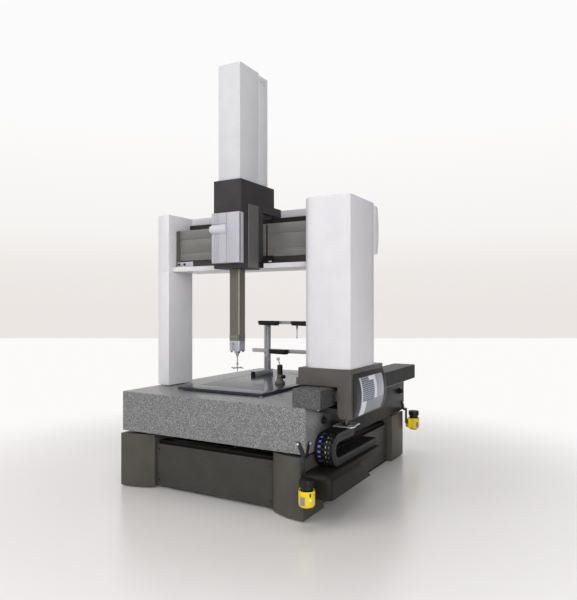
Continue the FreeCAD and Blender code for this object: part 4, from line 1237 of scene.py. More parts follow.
class PortalUnit(Unit):
    """The portal's fine pieces: chain bracket, leg seam, beam end and its tab."""

    sizes = PortalSizes()

    def build(self) -> None:
        """Add every fine piece of the portal."""
        self.chain_bracket()
        self.leg_seam()
        self.beam_end()
        self.foot_edge()
        self.foot_ribs()
        self.foot_trim()
        self.beam_bands()

    def rolled(self, name: str, out: float, thick: float, y: Span, z: Span
               ) -> bpy.types.Object:
        """Lay a narrow bar on the foot's rolled side cover.

        Args:
            name: The piece's name.
            out: How far its outer face stands off the roll's base radius.
            thick: How thick it is.
            y: Its span along the machine.
            z: Its span upwards.

        Returns:
            The bar, lying on the roll.
        """
        size = self.sizes
        reach = size.roll_radius + out
        angle = math.asin(((z[0] + z[1]) / 2 - size.roll_z) / reach)
        half = (z[1] - z[0]) / 2
        bar = block_mm(name, (reach - thick, reach), y, (-half, half))
        press_face(bar, Axis.X, 1, min(1.0, half / 3), -0.3)
        turn = Matrix.Rotation(-angle, 4, "Y")
        place = Matrix.Translation(Vector((size.roll_x, 0.0, size.roll_z)) * MM)
        bar.data.transform(place @ turn)
        return bar

    def foot_edge(self) -> None:
        """Lay a paler strip on the foot cover's front right edge: a painted highlight."""
        size = self.sizes
        strip = block_mm("foot_edge_highlight", (-size.edge_highlight_half, size.edge_highlight_half), (-0.5, 0.5),
                         size.edge_highlight_z)
        press_face(strip, Axis.Y, -1, 0.6, -0.1)
        place = Matrix.Translation(Vector((*size.edge_highlight_spot, 0.0)) * MM)
        strip.data.transform(place @ Matrix.Rotation(math.radians(45.0), 4, "Z"))
        self.shop.add_piece(strip, "portal", "stop")

    def foot_ribs(self) -> None:
        """Rib the foot's side cover, with painted shade in the gaps between its ribs and in the
        notches at the rear, and a bright front edge.
        """
        size = self.sizes
        dark, light, rim = [], [], []
        for k in range(size.rib_count):
            low = size.rib_low + size.rib_pitch * k
            middle = low + size.rib_pitch * 0.45
            dark.append(self.rolled("gap", 4.0, 4.0, size.rib_y, (low, middle)))
            light.append(self.rolled("rib", 5.2, 5.0, size.rib_y,
                                     (middle, low + size.rib_pitch)))
            rim.append(self.rolled("rim", 5.6, 5.0, (size.rib_y[0] - 14.0, size.rib_y[0] + 1.0),
                                   (low, low + size.rib_pitch)))
            if middle < size.trim_top:
                dark.append(self.rolled("notch", 5.4, 4.0, size.notch_y, (low, middle)))
        self.shop.add_piece(join("foot_cover_gap_shade", dark), "portal", "slot")
        self.shop.add_piece(join("foot_cover_ribs", light), "portal", "rib")
        self.shop.add_piece(join("foot_cover_rim", rim), "portal", "trim")

    def foot_trim(self) -> None:
        """Copy the cover's trim and set its bright edges at their printed places."""
        copy = clone(bpy.data.objects["foot_cover_trim"], "fine_foot_cover_trim")
        weld(copy)
        for point in copy.data.vertices:
            for old, new in self.sizes.trim_moves:
                if abs(point.co.y / MM - old) < 0.1:
                    point.co.y = new * MM
                    break
        round_edges(copy, 0.8)
        self.shop.add_piece(copy, "portal", "printed", "foot_cover_trim")

    def beam_bands(self) -> None:
        """Lay painted shade in the channel along the beam's foot and in the gap above the beam.
        """
        size = self.sizes
        low = block_mm("beam_gap_shade", size.channel_x, size.channel_y, size.channel_z)
        press_face(low, Axis.Y, -1, 1.5, 0.6)
        round_edges(low, 0.5, 2)
        high = block_mm("beam_gap", size.gap_x, size.gap_y, size.gap_z)
        press_face(high, Axis.Y, -1, 2.0, 1.0)
        round_edges(high, 0.5, 2)
        self.shop.add_piece(join("beam_gap_shade", [low, high]), "portal", "channel")

    def chain_bracket(self) -> None:
        """Shape the bright plate that carries the chain, with its dark riser."""
        size = self.sizes
        plate = block_mm("fine_chain_bracket", size.bracket_x, size.bracket_y, size.bracket_z)
        edge = size.bracket_x[1] * MM - 1e-4
        bevel_edges(plate, lambda a, b: upright(a, b) and a.x > edge, 26.0, 8)
        press_face(plate, Axis.Z, 1, 5.0, 0.8)
        round_edges(plate, 1.2, 3)
        self.shop.add_piece(plate, "portal", "bright", "chain_bracket")
        tail = block_mm("chain_bracket_tail", (size.bracket_x[0] + 6.0, size.bracket_x[1] - 14.0),
                        (size.bracket_y[1] - 2.0, size.tail_rear),
                        (size.bracket_z[0] + 0.2, size.bracket_z[1] - 0.2))
        press_face(tail, Axis.Z, 1, 4.0, 0.8)
        round_edges(tail, 1.0, 2)
        self.shop.add_piece(tail, "portal", "bright")
        riser = block_mm("chain_bracket_riser", size.riser_x, size.bracket_y,
                         (size.bracket_z[1], size.riser_top))
        press_face(riser, Axis.X, 1, 8.0, 1.5)
        round_edges(riser, 1.0, 2)
        self.shop.add_piece(riser, "portal", "oxide")
        level = size.bracket_z[1]
        spots = [(x, y, level) for x in size.bracket_screw_xs for y in size.bracket_screw_ys]
        self.screws.row("chain_bracket_screws", 4.5, Axis.Z, 1, spots, "portal", "steel")

    def leg_seam(self) -> None:
        """Draw the fine joint between the right leg's cover and its rear section."""
        size = self.sizes
        seam = block_mm("right_leg_seam", (size.leg_side - 2.0, size.leg_side + 0.35),
                        (size.leg_seam_y, size.leg_seam_y + 2.2), size.leg_z)
        round_edges(seam, 0.3, 2)
        self.shop.add_piece(seam, "portal", "shade")

    def beam_end(self) -> None:
        """Close the beam beside the left leg with a stop block and a screwed tab."""
        size = self.sizes
        stop = block_mm("beam_stop", size.end_block_x, (size.beam_front - 2.0, size.stop_rear),
                        (size.beam_z[0] - 53.0, size.beam_z[1] + 0.2))
        press_face(stop, Axis.Y, -1, 3.0, 1.0)
        round_edges(stop, 1.0, 2)
        self.shop.add_piece(stop, "portal", "stop")
        tab = block_mm("beam_tab", (size.tab_x[0], size.tab_end),
                       (size.beam_front - 26.0, size.beam_front + 13.0),
                       (size.tab_z[0], size.tab_z[0] + 8.0))
        wall = block_mm("beam_tab_wall", size.tab_x,
                        (size.beam_front - 4.0, size.beam_front + 2.0), size.tab_z)
        tab = join("beam_tab", [tab, wall])
        round_edges(tab, 1.0, 2)
        self.shop.add_piece(tab, "portal", "silver")
        spots = [(x, size.beam_front - 4.0, size.tab_screw_z) for x in size.tab_screw_xs]
        self.screws.row("beam_tab_screws", 9.5, Axis.Y, -1, spots, "portal", "oxide")


@dataclass(frozen=True)
class CarriageSizes:
    """Where the carriage's fine pieces sit, in millimetres."""

    seam_x: Span = (89.3, 91.7)
    flute_xs: tuple[float, ...] = (-16.0, 1.0, 18.0)
    flute_wide: float = 3.0
    groove_y: float = -767.0
    face_z: Span = (1673.0, 2025.0)
    handle_y: float = -758.0
    handle_z: float = 1913.0
    handle_x: Span = (-52.0, 90.0)
    handle_radius: float = 33.0
    column_side: float = 160.0
    vent_ys: Span = (-436.0, -395.0)
    vent_z: float = 3050.0


@dataclass(frozen=True)
class SmallBar:
    """One small bar on the carriage, by its spans in millimetres and its finish."""

    name: str
    x: Span
    y: Span
    z: Span
    finish: str


CARRIAGE_BARS = (
    SmallBar("wiper_holder", (186.0, 201.0), (-417.0, -411.3), (1742.0, 1812.0), "edge"),
    SmallBar("wiper_rail", (217.0, 236.0), (-416.0, -411.3), (1742.0, 1812.0), "edge"),
    SmallBar("wiper_strip", (203.0, 214.0), (-414.0, -411.3), (1742.0, 1978.0), "rubber"),
    SmallBar("scale_tape", (246.0, 266.0), (-412.6, -411.3), (1744.0, 1800.0), "beam"),
    SmallBar("left_wiper", (-74.0, -60.0), (-416.0, -411.3), (1740.0, 1978.0), "rubber"),
    SmallBar("under_wiper", (178.0, 211.0), (-470.0, -463.5), (1648.0, 1690.0), "oxide"),
    SmallBar("reading_head", (186.0, 268.0), (-432.0, -412.8), (1691.0, 1740.0), "black"),
    # cover_shade is painted shade: a darker strip at the front of the front cover's right side.
    SmallBar("cover_shade", (196.0, 199.4), (-766.0, -748.0), (1676.0, 2022.0), "seam"),
    SmallBar("handle_line", (-43.0, 89.0), (-770.5, -768.0), (1948.0, 1951.0), "seam"),
    SmallBar("handle_foot_line", (-43.0, 89.0), (-770.5, -768.0), (1875.0, 1878.0), "seam"),
    SmallBar("reading_bolt", (236.0, 262.0), (-435.5, -431.0), (1693.0, 1702.0), "bright"),
)


class CarriageUnit(Unit):
    """The carriage's fine pieces: seam, handle, vents, wipers and reading head."""

    sizes = CarriageSizes()

    def build(self) -> None:
        """Add every fine piece of the carriage."""
        self.cover_seam()
        self.handle()
        self.column_vents()
        self.small_bars()

    def cover_seam(self) -> None:
        """Line the bottom of the front cover's joint, and lay painted shade along the bottoms of
        its three flutes.
        """
        size = self.sizes
        deep = (size.groove_y - 0.9, size.groove_y + 1.5)
        seam = block_mm("front_cover_seam", size.seam_x, deep, size.face_z)
        press_face(seam, Axis.Y, -1, 0.4, 0.3)
        self.shop.add_piece(seam, "carriage", "shade")
        flutes = [block_mm("flute", (x + 0.3, x + size.flute_wide - 0.3), deep, size.face_z)
                  for x in size.flute_xs]
        for flute in flutes:
            press_face(flute, Axis.Y, -1, 0.4, 0.3)
        self.shop.add_piece(join("front_cover_flutes", flutes), "carriage", "seam")

    def handle(self) -> None:
        """Turn the handle with a stepped, rounded left end."""
        size = self.sizes
        spot = (size.handle_y, size.handle_z)
        grip = bar_mm("fine_carriage_handle", size.handle_radius, Axis.X,
                      (size.handle_x[0] + 16.0, size.handle_x[1]), spot, sides=64)
        press_face(grip, Axis.X, -1, 6.5, -16.0)
        left = (size.handle_x[0] + 17.0) * MM
        bevel_edges(grip, lambda a, b: a.x < left and b.x < left and abs(a.x - b.x) < 1e-6,
                    7.0, 6)
        round_edges(grip, 1.5, 3)
        self.shop.add_piece(grip, "carriage", "trim", "carriage_handle")

    def column_vents(self) -> None:
        """Set small vents near the top of the column's rear section."""
        size = self.sizes
        parts = []
        for k, y in enumerate(size.vent_ys):
            vent = block_mm("vent", (size.column_side - 2.0, size.column_side + 0.4),
                            (y, y + 26.0), (size.vent_z - 12.0 * k, size.vent_z + 22.0))
            press_face(vent, Axis.X, 1, 2.5, 1.5)
            parts.append(vent)
        vents = join("column_vents", parts)
        round_edges(vents, 0.3, 2)
        self.shop.add_piece(vents, "carriage", "seam")

    def small_bars(self) -> None:
        """Add the wipers, the reading head and the fine lines on the front cover."""
        for bar in CARRIAGE_BARS:
            part = block_mm(bar.name, bar.x, bar.y, bar.z)
            press_face(part, Axis.Y, -1, 2.0, 0.8)
            round_edges(part, 0.8, 2)
            self.shop.add_piece(part, "carriage", bar.finish)


@dataclass(frozen=True)
class ProbeSizes:
    """The ram's, the probe head's and the stylus's sizes in millimetres."""

    x: float = 60.0
    y: float = -587.0
    half: float = 43.0
    edge_out: float = 39.6
    ram_low: float = 1110.0
    ram_top: float = 2560.0
    head_low: float = 1033.0
    collar_low: float = 1016.0
    lug_out: float = 30.0
    foot_low: float = 1024.0
    lens_z: float = 1086.0
    arc_z: float = 1060.0
    adapter_low: float = 1008.0
    shaft_top: float = 990.0
    nut_z: Span = (930.0, 944.0)
    hub_z: float = 909.0
    arm_reach: float = 48.0
    tip_drop: float = 24.0


class ProbeUnit(Unit):
    """The ram's lower end, the probe head and the star stylus."""

    sizes = ProbeSizes()

    def build(self) -> None:
        """Add every fine piece of the ram and of what hangs on it."""
        self.ram_band()
        size = self.sizes
        self.edge_strips("ram_edge_strips", (size.ram_low + 45.0, size.ram_top - 1.0), "edge")
        # The strips on the probe head's edges are a painted highlight.
        self.edge_strips("head_edge_highlights", (size.head_low + 3.0, size.ram_low - 2.0), "bright")
        self.head()
        self.stylus()

    def edge_strips(self, name: str, z: Span, finish: str) -> None:
        """Lay bright strips on the four bevelled edges over a height: machined edges on the ram,
        and a painted highlight on the probe head.

        Args:
            name: The piece's name.
            z: Its span upwards in millimetres.
            finish: The strips' finish.
        """
        size = self.sizes
        strips = []
        for across in (-1, 1):
            for along in (-1, 1):
                strip = block_mm("strip", (-5.6, 5.6), (-0.5, 0.5), z)
                press_face(strip, Axis.Y, -1, 0.5, 0.1)
                turn = Matrix.Rotation(math.radians(-45.0 * across * along), 4, "Z")
                spot = Vector((size.x + across * size.edge_out, size.y + along * size.edge_out,
                               0.0)) * MM
                strip.data.transform(Matrix.Translation(spot) @ turn)
                strips.append(strip)
        self.shop.add_piece(join(name, strips), "ram", finish)

    def ram_band(self) -> None:
        """Ring the ram just above the head with its paler clamping band."""
        size = self.sizes
        reach = size.half + 0.5
        band = block_mm("ram_band", (size.x - reach, size.x + reach),
                        (size.y - reach, size.y + reach), (size.ram_low, size.ram_low + 44.0))
        bevel_edges(band, upright, 7.0, 2)
        groove = block_mm("ram_groove", (size.x - 50.0, size.x + 50.0),
                          (size.y - 50.0, size.y + 50.0),
                          (size.ram_low + 34.0, size.ram_low + 36.0))
        core = block_mm("ram_core", (size.x - size.half + 0.5, size.x + size.half - 0.5),
                        (size.y - size.half + 0.5, size.y + size.half - 0.5),
                        (size.ram_low + 33.0, size.ram_low + 37.0))
        carve(groove, core)
        carve(band, groove)
        round_edges(band, 0.4, 2)
        self.shop.add_piece(band, "ram", "band_metal")

    def head(self) -> None:
        """Shape the probe head: bevelled body, cover plate, window, feet and collar."""
        size = self.sizes
        body = block_mm("fine_probe_head", (size.x - size.half, size.x + size.half),
                        (size.y - size.half, size.y + size.half), (size.head_low, size.ram_low))
        bevel_edges(body, upright, 7.0, 4)
        press_face(body, Axis.Y, -1, 5.0, -0.8)
        round_edges(body, 1.2, 3)
        collar = bar_mm("collar", 21.0, Axis.Z, (size.collar_low, size.head_low),
                        (size.x, size.y), sides=48)
        press_face(collar, Axis.Z, -1, 4.0, 3.0)
        round_edges(collar, 0.8, 2)
        self.shop.add_piece(join("fine_probe_head", [body, collar]), "ram", "head",
                            "probe_head")
        feet = []
        for across in (-1, 1):
            for along in (-1, 1):
                foot = bar_mm("foot", 7.0, Axis.Z, (size.foot_low, size.head_low),
                              (size.x + across * size.lug_out, size.y + along * size.lug_out),
                              sides=24)
                press_face(foot, Axis.Z, -1, 2.0, 2.0)
                feet.append(foot)
        feet = join("probe_feet", feet)
        round_edges(feet, 0.6, 2)
        self.shop.add_piece(feet, "ram", "oxide")
        front = size.y - size.half - 0.8
        dot = bar_mm("probe_lens", 6.0, Axis.Y, (front - 1.2, front + 2.0),
                     (size.x - 4.0, size.lens_z), sides=32)
        press_face(dot, Axis.Y, -1, 1.5, 0.8)
        spot = (size.x + 2.0, size.arc_z)
        arc = bar_mm("arc", 15.0, Axis.Y, (front - 0.6, front + 1.0), spot)
        hole = bar_mm("hole", 11.5, Axis.Y, (front - 3.0, front + 3.0), spot)
        half = block_mm("half", (size.x - 4.0, size.x + 30.0), (front - 4.0, front + 4.0),
                        (size.arc_z - 10.0, size.arc_z + 22.0))
        carve(arc, hole)
        carve(arc, half)
        marks = join("probe_lens", [dot, arc])
        round_edges(marks, 0.3, 2)
        self.shop.add_piece(marks, "ram", "oxide")

    def stylus(self) -> None:
        """Turn the star stylus: adapter, shaft, hub, five arms and their ruby tips."""
        size = self.sizes
        spot = (size.x, size.y)
        plate = bar_mm("adapter", 13.0, Axis.Z, (size.adapter_low, size.collar_low - 0.3), spot,
                       sides=48)
        press_face(plate, Axis.Z, -1, 1.0, -4.0)
        press_face(plate, Axis.Z, -1, 3.5, -12.0)
        press_face(plate, Axis.Z, -1, 3.5, -7.0)
        round_edges(plate, 0.6, 2)
        shaft = bar_mm("shaft", 4.4, Axis.Z, (size.hub_z, size.shaft_top), spot, sides=24)
        nut = bar_mm("nut", 7.5, Axis.Z, size.nut_z, spot, sides=6)
        hub = block_mm("hub", (size.x - 6.0, size.x + 6.0), (size.y - 6.0, size.y + 6.0),
                       (size.hub_z - 6.0, size.hub_z + 6.0))
        for axis, outward in ((Axis.X, 1), (Axis.X, -1), (Axis.Y, 1), (Axis.Y, -1)):
            press_face(hub, axis, outward, 1.6, -3.0)
        round_edges(hub, 0.5, 2)
        arms, tips = [], []
        for sign in (-1, 1):
            for axis in (Axis.X, Axis.Y):
                middle = spot[axis.value]
                other = spot[1 - axis.value]
                end = middle + sign * size.arm_reach
                arms.append(bar_mm("arm", 2.6, axis, tuple(sorted((middle, end))),
                                   (other, size.hub_z), sides=16))
                place = [size.x, size.y, size.hub_z]
                place[axis.value] = end
                tips.append(ball_mm("tip", 5.0, place))
        arms.append(bar_mm("arm", 2.6, Axis.Z, (size.hub_z - size.tip_drop, size.hub_z), spot,
                           sides=16))
        tips.append(ball_mm("tip", 4.0, (size.x, size.y, size.hub_z - size.tip_drop)))
        star = join("fine_star_stylus", [plate, shaft, nut, hub, *arms])
        smooth(star)
        self.shop.dress(star, "carbide")
        rubies = self.shop.dress(join("tips", tips), "ruby")
        self.shop.add_piece(join("fine_star_stylus", [star, rubies]), "stylus", None,
                            "star_stylus")


@dataclass(frozen=True)
class AccessorySizes:
    """The stylus rack's and the sphere stand's sizes in millimetres."""

    holder_spans: tuple[tuple[Span, Span], ...] = (
        ((-394.0, -172.0), (1203.0, 1233.0)), ((-49.0, 159.0), (1203.0, 1233.0)),
        ((-261.0, -56.0), (948.0, 978.0)))
    nose_long: float = 45.0
    nose_rise: float = 36.0
    holder_drop: float = 12.0
    skirt_split: float = 783.0
    bar_front: float = 416.5
    low_set: float = 32.0
    upper_level: float = 1203.0
    lower_level: float = 948.0
    upper_screws: tuple[float, ...] = (-330.0, -215.0, 5.0, 110.0)
    lower_screws: Span = (-215.0, -95.0)
    screw_out: float = 44.0
    screw_up: float = 30.0
    angle_xs: Span = (-310.0, 230.0)
    angle_tops: Span = (944.0, 1203.0)
    spare_out: float = 29.0
    spares: tuple[tuple[float, float, float], ...] = (
        (29.0, 1203.0, 118.0), (-290.0, 1203.0, 92.0), (-240.0, 948.0, 84.0))
    stand_spot: Span = (145.0, -111.0)
    plate_top: float = 741.0
    foot_top: float = 759.0
    skirt_top: float = 817.0
    rings_low: float = 820.0
    ring_pitch: float = 10.0
    column_top: float = 894.0
    switch_z: float = 800.0
    dial_x: Span = (170.3, 190.3)
    lever_x: float = 180.3
    lever_long: float = 30.0
    stem_lean: tuple[float, float, float] = (-12.0, 0.0, 34.0)
    stem_long: float = 51.0


class AccessoryUnit(Unit):
    """The stylus rack's and the sphere stand's fine pieces on the plate."""

    sizes = AccessorySizes()

    def build(self) -> None:
        """Add every fine piece of the rack and of the sphere stand."""
        self.taper_holders()
        self.holders()
        self.spare_styli()
        self.stand()
        self.switch()

    def taper_holders(self) -> None:
        """Round the holders and raise the underside of their left ends to a nose."""
        size = self.sizes
        holders = self.shop.soften("rack_holders", "base", "black", 2.0)
        for (left, right), (low, high) in size.holder_spans:
            middle = (low + high) / 2
            for point in holders.data.vertices:
                x, z = point.co.x / MM, point.co.z / MM
                if left - 1.0 <= x <= right + 1.0 and low - 1.0 <= z < middle:
                    share = max(1.0 - (x - left) / size.nose_long, 0.0)
                    point.co.z += (share * size.nose_rise - size.holder_drop) * MM

    def holders(self) -> None:
        """Fit each holder with its two locating screws, and the posts with brackets."""
        size = self.sizes
        front = size.bar_front
        spots = [(x, front - size.screw_out, size.upper_level + size.screw_up)
                 for x in size.upper_screws]
        spots += [(x, front - size.low_set - size.screw_out, size.lower_level + size.screw_up)
                  for x in size.lower_screws]
        self.screws.row("holder_screws", 4.0, Axis.Z, 1, spots, "base", "steel")
        parts = []
        for x in size.angle_xs:
            for top in size.angle_tops:
                plate = block_mm("angle", (x - 20.0, x + 20.0), (front - 3.0, front),
                                 (top - 44.0, top))
                press_face(plate, Axis.Y, -1, 5.0, 0.8)
                parts.append(plate)
        angles = join("rack_angles", parts)
        round_edges(angles, 0.8, 2)
        self.shop.add_piece(angles, "base", "zinc")

    def spare_styli(self) -> None:
        """Hang the spare styli: a head, a thin shaft and a ruby disc or ball."""
        size = self.sizes
        y = size.bar_front - size.spare_out
        heads, tips = [], []
        for k, (x, level, drop) in enumerate(size.spares):
            at = y if level == size.upper_level else y - size.low_set
            head = bar_mm("spare_head", 9.0, Axis.Z, (level - 34.0, level), (x, at), sides=32)
            press_face(head, Axis.Z, -1, 2.0, -6.0)
            press_face(head, Axis.Z, -1, 2.5, -8.0)
            round_edges(head, 0.6, 2)
            heads += [head, bar_mm("spare_shaft", 3.6, Axis.Z, (level - drop, level - 30.0),
                                   (x, at), sides=20)]
            tips.append(ball_mm("spare_tip", 4.5, (x, at, level - drop)))
            if k == 0:
                heads.append(bar_mm("spare_disc", 9.0, Axis.Z, (level - 122.0, level - 118.0),
                                    (x, at), sides=40))
        styli = join("fine_spare_stylus", heads)
        smooth(styli)
        self.shop.dress(styli, "carbide")
        rubies = self.shop.dress(join("tips", tips), "ruby")
        self.shop.add_piece(join("fine_spare_stylus", [styli, rubies]), "base", None,
                            "spare_stylus")

    def cone(self, name: str, radii: Span, z: Span, spot: Span) -> bpy.types.Object:
        """Turn an upright tapered ring with rounded edges.

        Args:
            name: The ring's name.
            radii: Its radius at the foot and at the top, in millimetres.
            z: Its span upwards, in millimetres.
            spot: The X and Y of its axis, in millimetres.

        Returns:
            The ring.
        """
        bpy.ops.object.select_all(action="DESELECT")
        bpy.ops.mesh.primitive_cone_add(
            vertices=64, radius1=radii[0] * MM, radius2=radii[1] * MM, depth=(z[1] - z[0]) * MM,
            location=(spot[0] * MM, spot[1] * MM, (z[0] + z[1]) / 2 * MM))
        piece = place_mesh(bpy.context.active_object, name)
        round_edges(piece, 1.0, 2)
        return piece

    def stand(self) -> None:
        """Turn the sphere stand: flanged foot, ribbed column, leaning stem and ball."""
        size = self.sizes
        x, y = size.stand_spot
        foot = bar_mm("foot", 42.0, Axis.Z, (size.plate_top, size.foot_top), (x, y), sides=64)
        press_face(foot, Axis.Z, 1, 5.0, -2.0)
        round_edges(foot, 1.5, 3)
        split = size.skirt_split
        skirts = [self.cone("skirt", (33.0, 25.2), (size.foot_top, split), (x, y)),
                  self.cone("skirt", (24.6, 23.0), (split - 1.0, size.skirt_top), (x, y))]
        foot = self.shop.dress(join("foot", [foot, *skirts]), "olive")
        column = bar_mm("column", 20.5, Axis.Z, (size.foot_top - 4.0, size.column_top), (x, y),
                        sides=48)
        lows = [size.rings_low + size.ring_pitch * k for k in range(7)]
        rings = [bar_mm("ring", 23.0, Axis.Z, (low, low + 6.0), (x, y), sides=48)
                 for low in lows]
        boss = bar_mm("boss", 15.0, Axis.X, (x, x + 25.0), (y, size.switch_z), sides=40)
        dark = join("column", [column, *rings, boss])
        round_edges(dark, 1.0, 2)
        dark = join("stand", [self.shop.dress(dark, "oxide"), foot])
        lean = Vector(size.stem_lean)
        lean.normalize()
        start = Vector((x, y, size.column_top - 2.0))
        middle = Vector((x, y, size.column_top)) + lean * size.stem_long
        bpy.ops.object.select_all(action="DESELECT")
        bpy.ops.mesh.primitive_cone_add(
            vertices=32, radius1=6.0 * MM, radius2=3.2 * MM, depth=(middle - start).length * MM,
            location=(start + middle) / 2 * MM,
            rotation=lean.to_track_quat("Z", "Y").to_euler())
        stem = place_mesh(bpy.context.active_object, "stem")
        smooth(stem)
        self.shop.dress(stem, "steel")
        ball = self.shop.dress(ball_mm("ball", 15.0, middle), "ceramic")
        self.shop.add_piece(join("fine_sphere_stand", [dark, stem, ball]), "base", None,
                            "sphere_stand")

    def switch(self) -> None:
        """Shape the stand's magnet switch: a knurled dial with a lever and its knob."""
        size = self.sizes
        y, z = size.stand_spot[1], size.switch_z
        dial = bar_mm("dial", 15.0, Axis.X, size.dial_x, (y, z), sides=36)
        press_face(dial, Axis.X, 1, 3.0, 1.5)
        round_edges(dial, 1.0, 2)
        end = y - size.lever_long
        lever = bar_mm("lever", 3.6, Axis.Y, (end, y), (size.lever_x, z), sides=24)
        knob = ball_mm("knob", 5.5, (size.lever_x, end, z))
        smooth(lever)
        self.shop.add_piece(join("fine_magnet_switch", [dial, lever, knob]), "stand_switch",
                            "black", "magnet_switch")


@dataclass(frozen=True)
class ScannerSizes:
    """The safety scanners' sizes in millimetres."""

    x: float = 851.0
    y: float = -993.0
    low: float = 138.0
    neck: float = 240.0
    top: float = 303.0
    radius: float = 51.2
    head: float = 46.0
    rise: float = 88.0
    mirror_y: float = 159.0
    window_turn: float = -3.0
    window_z: float = 184.0
    side_turn: float = 52.0
    lamp_turn: float = 54.0
    lamp_z: float = 191.0
    slot_z: float = 220.0
    bolt_z: float = 488.0
    arm_bolt_x: float = 740.0
    front_bolt_y: float = -902.0
    rear_bolt_y: float = 1061.0
    side_bolt_x: float = 796.0
    side_bolt_y: float = -846.0


class ScannerUnit(Unit):
    """The two safety scanners: yellow bowl, ribbed black head, window and bolts."""

    sizes = ScannerSizes()

    def build(self) -> None:
        """Shape one scanner, then set a second one, mirrored and higher, at the rear."""
        pieces = (self.body(), self.head(), self.window())
        for piece, finish, nodes in zip(pieces, ("yellow", "black", "display"),
                                        (["scanner_housings"], ["scanner_heads"], [])):
            both = join("fine_" + piece.name, [piece, self.rear(piece)])
            self.shop.add_piece(both, "base", finish, *nodes)
        self.lamp()
        self.bolts()

    def rear(self, piece: bpy.types.Object) -> bpy.types.Object:
        """Copy a piece to the rear corner, facing the other way.

        Args:
            piece: A piece of the front scanner.

        Returns:
            Its mirrored, higher twin.
        """
        size = self.sizes
        twin = clone(piece, piece.name)
        flip = Matrix.Scale(-1.0, 4, Vector((0.0, 1.0, 0.0)))
        move = Matrix.Translation(Vector((0.0, size.mirror_y * MM, size.rise * MM)))
        twin.data.transform(move @ flip)
        twin.data.flip_normals()
        return twin

    def body(self) -> bpy.types.Object:
        """Round the yellow bowl's lower edge and step its collar up round the head.

        Returns:
            The bowl and the housing's back.
        """
        size = self.sizes
        bowl = bar_mm("scanner_body", size.radius, Axis.Z, (size.low, size.neck),
                      (size.x, size.y), sides=64)
        edge = size.low * MM + 1e-4
        bevel_edges(bowl, lambda a, b: a.z < edge and b.z < edge, 22.0, 7)
        press_face(bowl, Axis.Z, 1, 5.0, 4.0)
        round_edges(bowl, 1.5, 3)
        back = block_mm("back", (-30.0, 30.0), (0.0, 70.0), (size.low + 16.0, size.neck - 4.0))
        round_edges(back, 6.0, 4)
        turn = Matrix.Rotation(math.radians(45.0), 4, "Z")
        place = Matrix.Translation(Vector((size.x * MM, size.y * MM, 0.0)))
        back.data.transform(place @ turn)
        return join("scanner_body", [bowl, back])

    def head(self) -> bpy.types.Object:
        """Stack the head: a waisted optics cover, ribs and a domed cap.

        Returns:
            The head.
        """
        size = self.sizes
        spot = (size.x, size.y)
        waist = bar_mm("waist", size.head - 7.0, Axis.Z, (size.neck - 4.0, size.neck + 26.0),
                       spot, sides=56)
        cap = bar_mm("cap", size.head, Axis.Z, (size.neck + 24.0, size.top), spot, sides=56)
        press_face(cap, Axis.Z, 1, 6.0, -2.0)
        parts = [waist, cap]
        for k in range(3):
            low = size.neck + 30.0 + 10.0 * k
            parts.append(bar_mm("rib", size.head + 2.0, Axis.Z, (low, low + 5.0), spot, 56))
        floor = bar_mm("floor", size.radius - 20.0, Axis.Z, (size.low - 5.0, size.low + 2.0),
                       spot, sides=40)
        head = join("scanner_head", [*parts, floor])
        round_edges(head, 1.2, 2)
        return head

    def window(self) -> bpy.types.Object:
        """Set the grey display in the bowl's front.

        Returns:
            The display.
        """
        panel = block_mm("scanner_window", (-15.0, 15.0), (-2.0, 6.0), (-26.0, 26.0))
        press_face(panel, Axis.Y, -1, 2.5, -0.2)
        round_edges(panel, 0.8, 2)
        self.turn_out(panel, self.sizes.window_turn, self.sizes.window_z, 1.5)
        return panel

    def turn_out(self, piece: bpy.types.Object, degrees: float, height: float,
                 inset: float) -> None:
        """Set a piece on the bowl's round side.

        Args:
            piece: A piece whose face looks along -Y.
            degrees: How far it is turned from the front to the right.
            height: Its middle's height in millimetres.
            inset: How far its middle lies inside the bowl's surface.
        """
        size = self.sizes
        angle = math.radians(degrees)
        reach = size.radius - inset
        spot = Vector((size.x + reach * math.sin(angle), size.y - reach * math.cos(angle),
                       height))
        piece.data.transform(Matrix.Translation(spot * MM) @ Matrix.Rotation(angle, 4, "Z"))

    def lamp(self) -> None:
        """Set the white lamp, the dark slot above it and the rear bowl's second display."""
        size = self.sizes
        lamp = bar_mm("scanner_lamp", 8.5, Axis.Y, (-3.5, 2.0), (0.0, 0.0), sides=32)
        press_face(lamp, Axis.Y, -1, 1.6, -1.2)
        round_edges(lamp, 0.6, 2)
        self.turn_out(lamp, size.lamp_turn, size.lamp_z, 1.0)
        self.shop.add_piece(lamp, "base", "ceramic")
        slot = block_mm("scanner_slot", (-4.5, 4.5), (-2.5, 4.0), (-10.0, 10.0))
        press_face(slot, Axis.Y, -1, 1.4, 0.8)
        round_edges(slot, 0.8, 2)
        self.turn_out(slot, size.side_turn, size.slot_z, 1.0)
        self.shop.add_piece(slot, "base", "black")
        panel = block_mm("rear_scanner_window", (-13.0, 13.0), (-2.0, 6.0), (-22.0, 22.0))
        press_face(panel, Axis.Y, -1, 2.5, -0.2)
        round_edges(panel, 0.8, 2)
        self.turn_out(panel, size.side_turn, size.window_z, 1.0)
        shift = Vector((0.0, size.mirror_y - 2 * size.y, size.rise)) * MM
        panel.data.transform(Matrix.Translation(shift))
        self.shop.add_piece(panel, "base", "display")

    def bolts(self) -> None:
        """Fix the bracket's arms to the granite with bright bolts."""
        size = self.sizes
        for name, y, outward in (("front", size.front_bolt_y, -1), ("rear", size.rear_bolt_y, 1)):
            spot = [(size.arm_bolt_x, y, size.bolt_z)]
            self.screws.row(name + "_arm_bolt", 8.0, Axis.Y, outward, spot, "base", "bright")
        spots = [(size.side_bolt_x, y, size.bolt_z)
                 for y in (size.side_bolt_y, size.mirror_y - size.side_bolt_y)]
        self.screws.row("side_arm_bolts", 8.0, Axis.X, 1, spots, "base", "bright")


